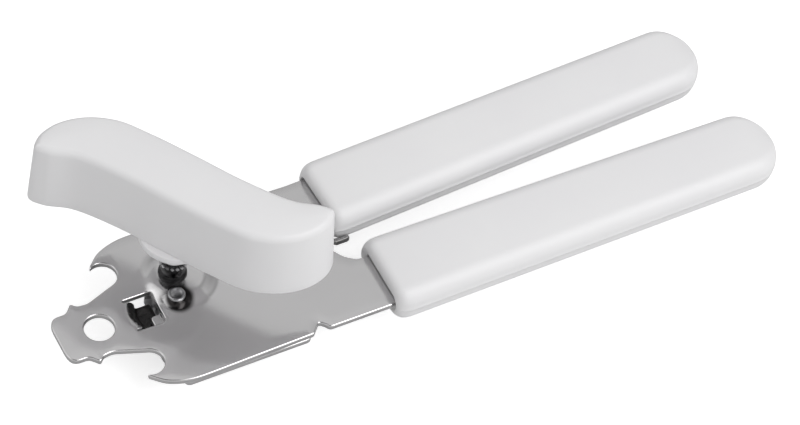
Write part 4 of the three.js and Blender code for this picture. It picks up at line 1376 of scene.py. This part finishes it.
for piece, node, body, slot in (
        (cutter, "cutter_wheel", "cutter_body", "hardened_steel"),
        (spacer, "cutter_spacer", "cutter_body", "turned_steel"),
        (thrust, "thrust_washer", "crank_body", "turned_steel"),
        (lock, "lock_washer", "crank_body", "turned_steel"),
        (retainer, "lever_retaining_ring", "upper_lever_body", "turned_steel"),
        (axle, "cutter_axle", "lower_lever_body", "turned_steel")):
    stands_for(piece, node, body)

# %% [markdown]
# The screw's slot, the nut's six sides and the shaft's square are already right in the solids.
# They could be modelled again, but a copy with its edges rounded is quicker and can't end up in
# another place. A solid is loose triangles, so it is the copy that has its corners merged.

# %% The screw, the nut and the shaft
for node, name, material, body, edge in (
        ("cutter_screw", "cutter_screw_slotted", axle_steel, "lower_lever_body", 0.12),
        ("end_nut", "end_nut_hexagon", bright, "crank_body", 0.15),
        ("drive_shaft", "drive_shaft_bar", bright, "crank_body", 0.06)):
    stands_for(piece_from(copy_of(node), name, material, edge), node, body)

# %% [markdown]
# ## The studio
# A plain floor, a soft sky and one soft lamp. Steel has no colour of its own to show, so what it
# mirrors decides how it looks. The sky is brighter overhead, dimmer where the flat plates look
# and dark where the flank of the boss looks, and a bright field low at the near right draws the
# bright lines along the rims. The floor adds light of its own only where the camera sees it
# directly, and so does the sky, so both are white in the picture but light nothing, and the
# shadow on the floor stays.

# %% Floor
FLOOR_GREY, FLOOR_LIGHT = 0.76, 0.62  # what it reflects, and what it adds where it is seen
floor_mesh = bpy.data.meshes.new("studio_floor")
floor_mesh.from_pydata([(-3, -3, 0), (3, -3, 0), (3, 3, 0), (-3, 3, 0)], [], [(0, 1, 2, 3)])
floor = add_object("studio_floor", floor_mesh)
paper = bpy.data.materials.new("white_paper")
paper.use_nodes = True
tree = paper.node_tree
shader = tree.nodes["Principled BSDF"]
shader.inputs["Base Color"].default_value = (FLOOR_GREY, FLOOR_GREY, FLOOR_GREY, 1)
shader.inputs["Roughness"].default_value = 0.9
shader.inputs["Specular IOR Level"].default_value = 0.0
shader.inputs["Emission Color"].default_value = (1, 1, 1, 1)
rays = add_node(tree, "ShaderNodeLightPath").outputs["Is Camera Ray"]
tree.links.new(calc(tree, "MULTIPLY", rays, FLOOR_LIGHT), shader.inputs["Emission Strength"])
floor_mesh.materials.append(paper)
print("floor at z = 0")

# %% Sky
# Each field has a direction, the alignments where it begins and where it is full, and its value
# before the one and after the other.
DIM = [((0.10, 0.44, 0.88), 0.55, 0.95, 1.0, 0.50),  # where the flat plates look
       ((0.78, -0.08, 0.62), 0.76, 0.95, 1.0, 0.50),  # on the right
       ((-0.22, -0.32, 0.92), 0.84, 0.95, 1.0, 0.06)]  # where the boss's flank looks
ADDED = [((0.40, -0.58, 0.71), 0.86, 0.97, 0.0, 0.50),  # at the near right, for the rims
         ((-0.84, 0.38, 0.38), 0.84, 0.97, 0.0, 0.35)]  # low on the left
HORIZON, ZENITH = 0.11, 1.50
world = bpy.data.worlds.new("soft_studio")
bpy.context.scene.world = world
world.use_nodes = True
tree = world.node_tree
way = add_node(tree, "ShaderNodeTexCoord").outputs["Generated"]
upward = add_node(tree, "ShaderNodeSeparateXYZ", [(0, way)]).outputs["Z"]
strength = wire(tree, "ShaderNodeMapRange", (0, upward), (1, 0.0), (2, 0.95), (3, HORIZON),
                (4, ZENITH))
for operation, fields in (("MULTIPLY", DIM), ("ADD", ADDED)):
    for direction, low, high, before, after in fields:
        aligned = add_node(tree, "ShaderNodeVectorMath", [
            (0, way), (1, tuple(Vector(direction).normalized()))],
            operation="DOT_PRODUCT").outputs["Value"]
        field = wire(tree, "ShaderNodeMapRange", (0, aligned), (1, low), (2, high), (3, before),
                     (4, after), interpolation_type="SMOOTHSTEP")
        strength = calc(tree, operation, strength, field)
seen = add_node(tree, "ShaderNodeLightPath").outputs["Is Camera Ray"]
sky = tree.nodes["Background"]
sky.inputs["Color"].default_value = (1, 1, 1, 1)
tree.links.new(calc(tree, "MAXIMUM", strength, seen), sky.inputs["Strength"])
print("sky:", world.name, "with", len(DIM) + len(ADDED), "fields")

# %% One large soft lamp at the near right
LAMP_SIDE, LAMP_WATTS, LAMP_AT = 0.85, 5.9, Vector((0.45, -0.60, 0.85))
panel = bpy.data.lights.new("soft_panel", "AREA")
panel.shape = "RECTANGLE"
panel.size, panel.size_y = LAMP_SIDE, LAMP_SIDE
panel.energy = LAMP_WATTS
lamp = add_object("soft_panel", panel)
lamp.location = LAMP_AT
lamp.rotation_euler = (-LAMP_AT).to_track_quat("-Z", "Y").to_euler()
print("lamp:", LAMP_WATTS, "W")

# %% [markdown]
# ## The camera
# A long lens from far away keeps the opener's lines almost parallel. The camera looks down at it
# steeply, from beside the short end of the levers, and is rolled a little, which sets the grips
# at a slant across the picture.

# %% Camera
AZIMUTH, ELEVATION, ROLL = math.radians(-34.709), math.radians(52.64), math.radians(9.542)
DISTANCE, FOCAL = 827.2, 3664.6  # in mm, and in units of which the frame is WIDTH wide
WIDTH, SENSOR = 800, 36.0
ACROSS, DOWN = 227.884, 62.716  # how far left of and below the middle the target sits
back = Vector((math.sin(AZIMUTH) * math.cos(ELEVATION), -math.cos(AZIMUTH) * math.cos(ELEVATION),
               math.sin(ELEVATION)))
level = Vector((math.cos(AZIMUTH), math.sin(AZIMUTH), 0))
above = back.cross(level)
right = math.cos(ROLL) * level + math.sin(ROLL) * above
up = -math.sin(ROLL) * level + math.cos(ROLL) * above
target = Vector((0, 0, UPPER_TOP))  # the shaft's axis at the upper lever's face
place = (target + DISTANCE * back + ACROSS / FOCAL * DISTANCE * right
         + DOWN / FOCAL * DISTANCE * up) * MM
lens = bpy.data.cameras.new("camera")
lens.sensor_width = SENSOR
lens.lens = FOCAL / WIDTH * SENSOR
lens.clip_start, lens.clip_end = 0.01, 20.0
camera = add_object("camera", lens)
camera.matrix_world = Matrix.Translation(place) @ Matrix((right, up, back)).transposed().to_4x4()
bpy.context.scene.camera = camera
bpy.context.scene.view_settings.view_transform = "Standard"
print("camera at", [round(v, 3) for v in place])
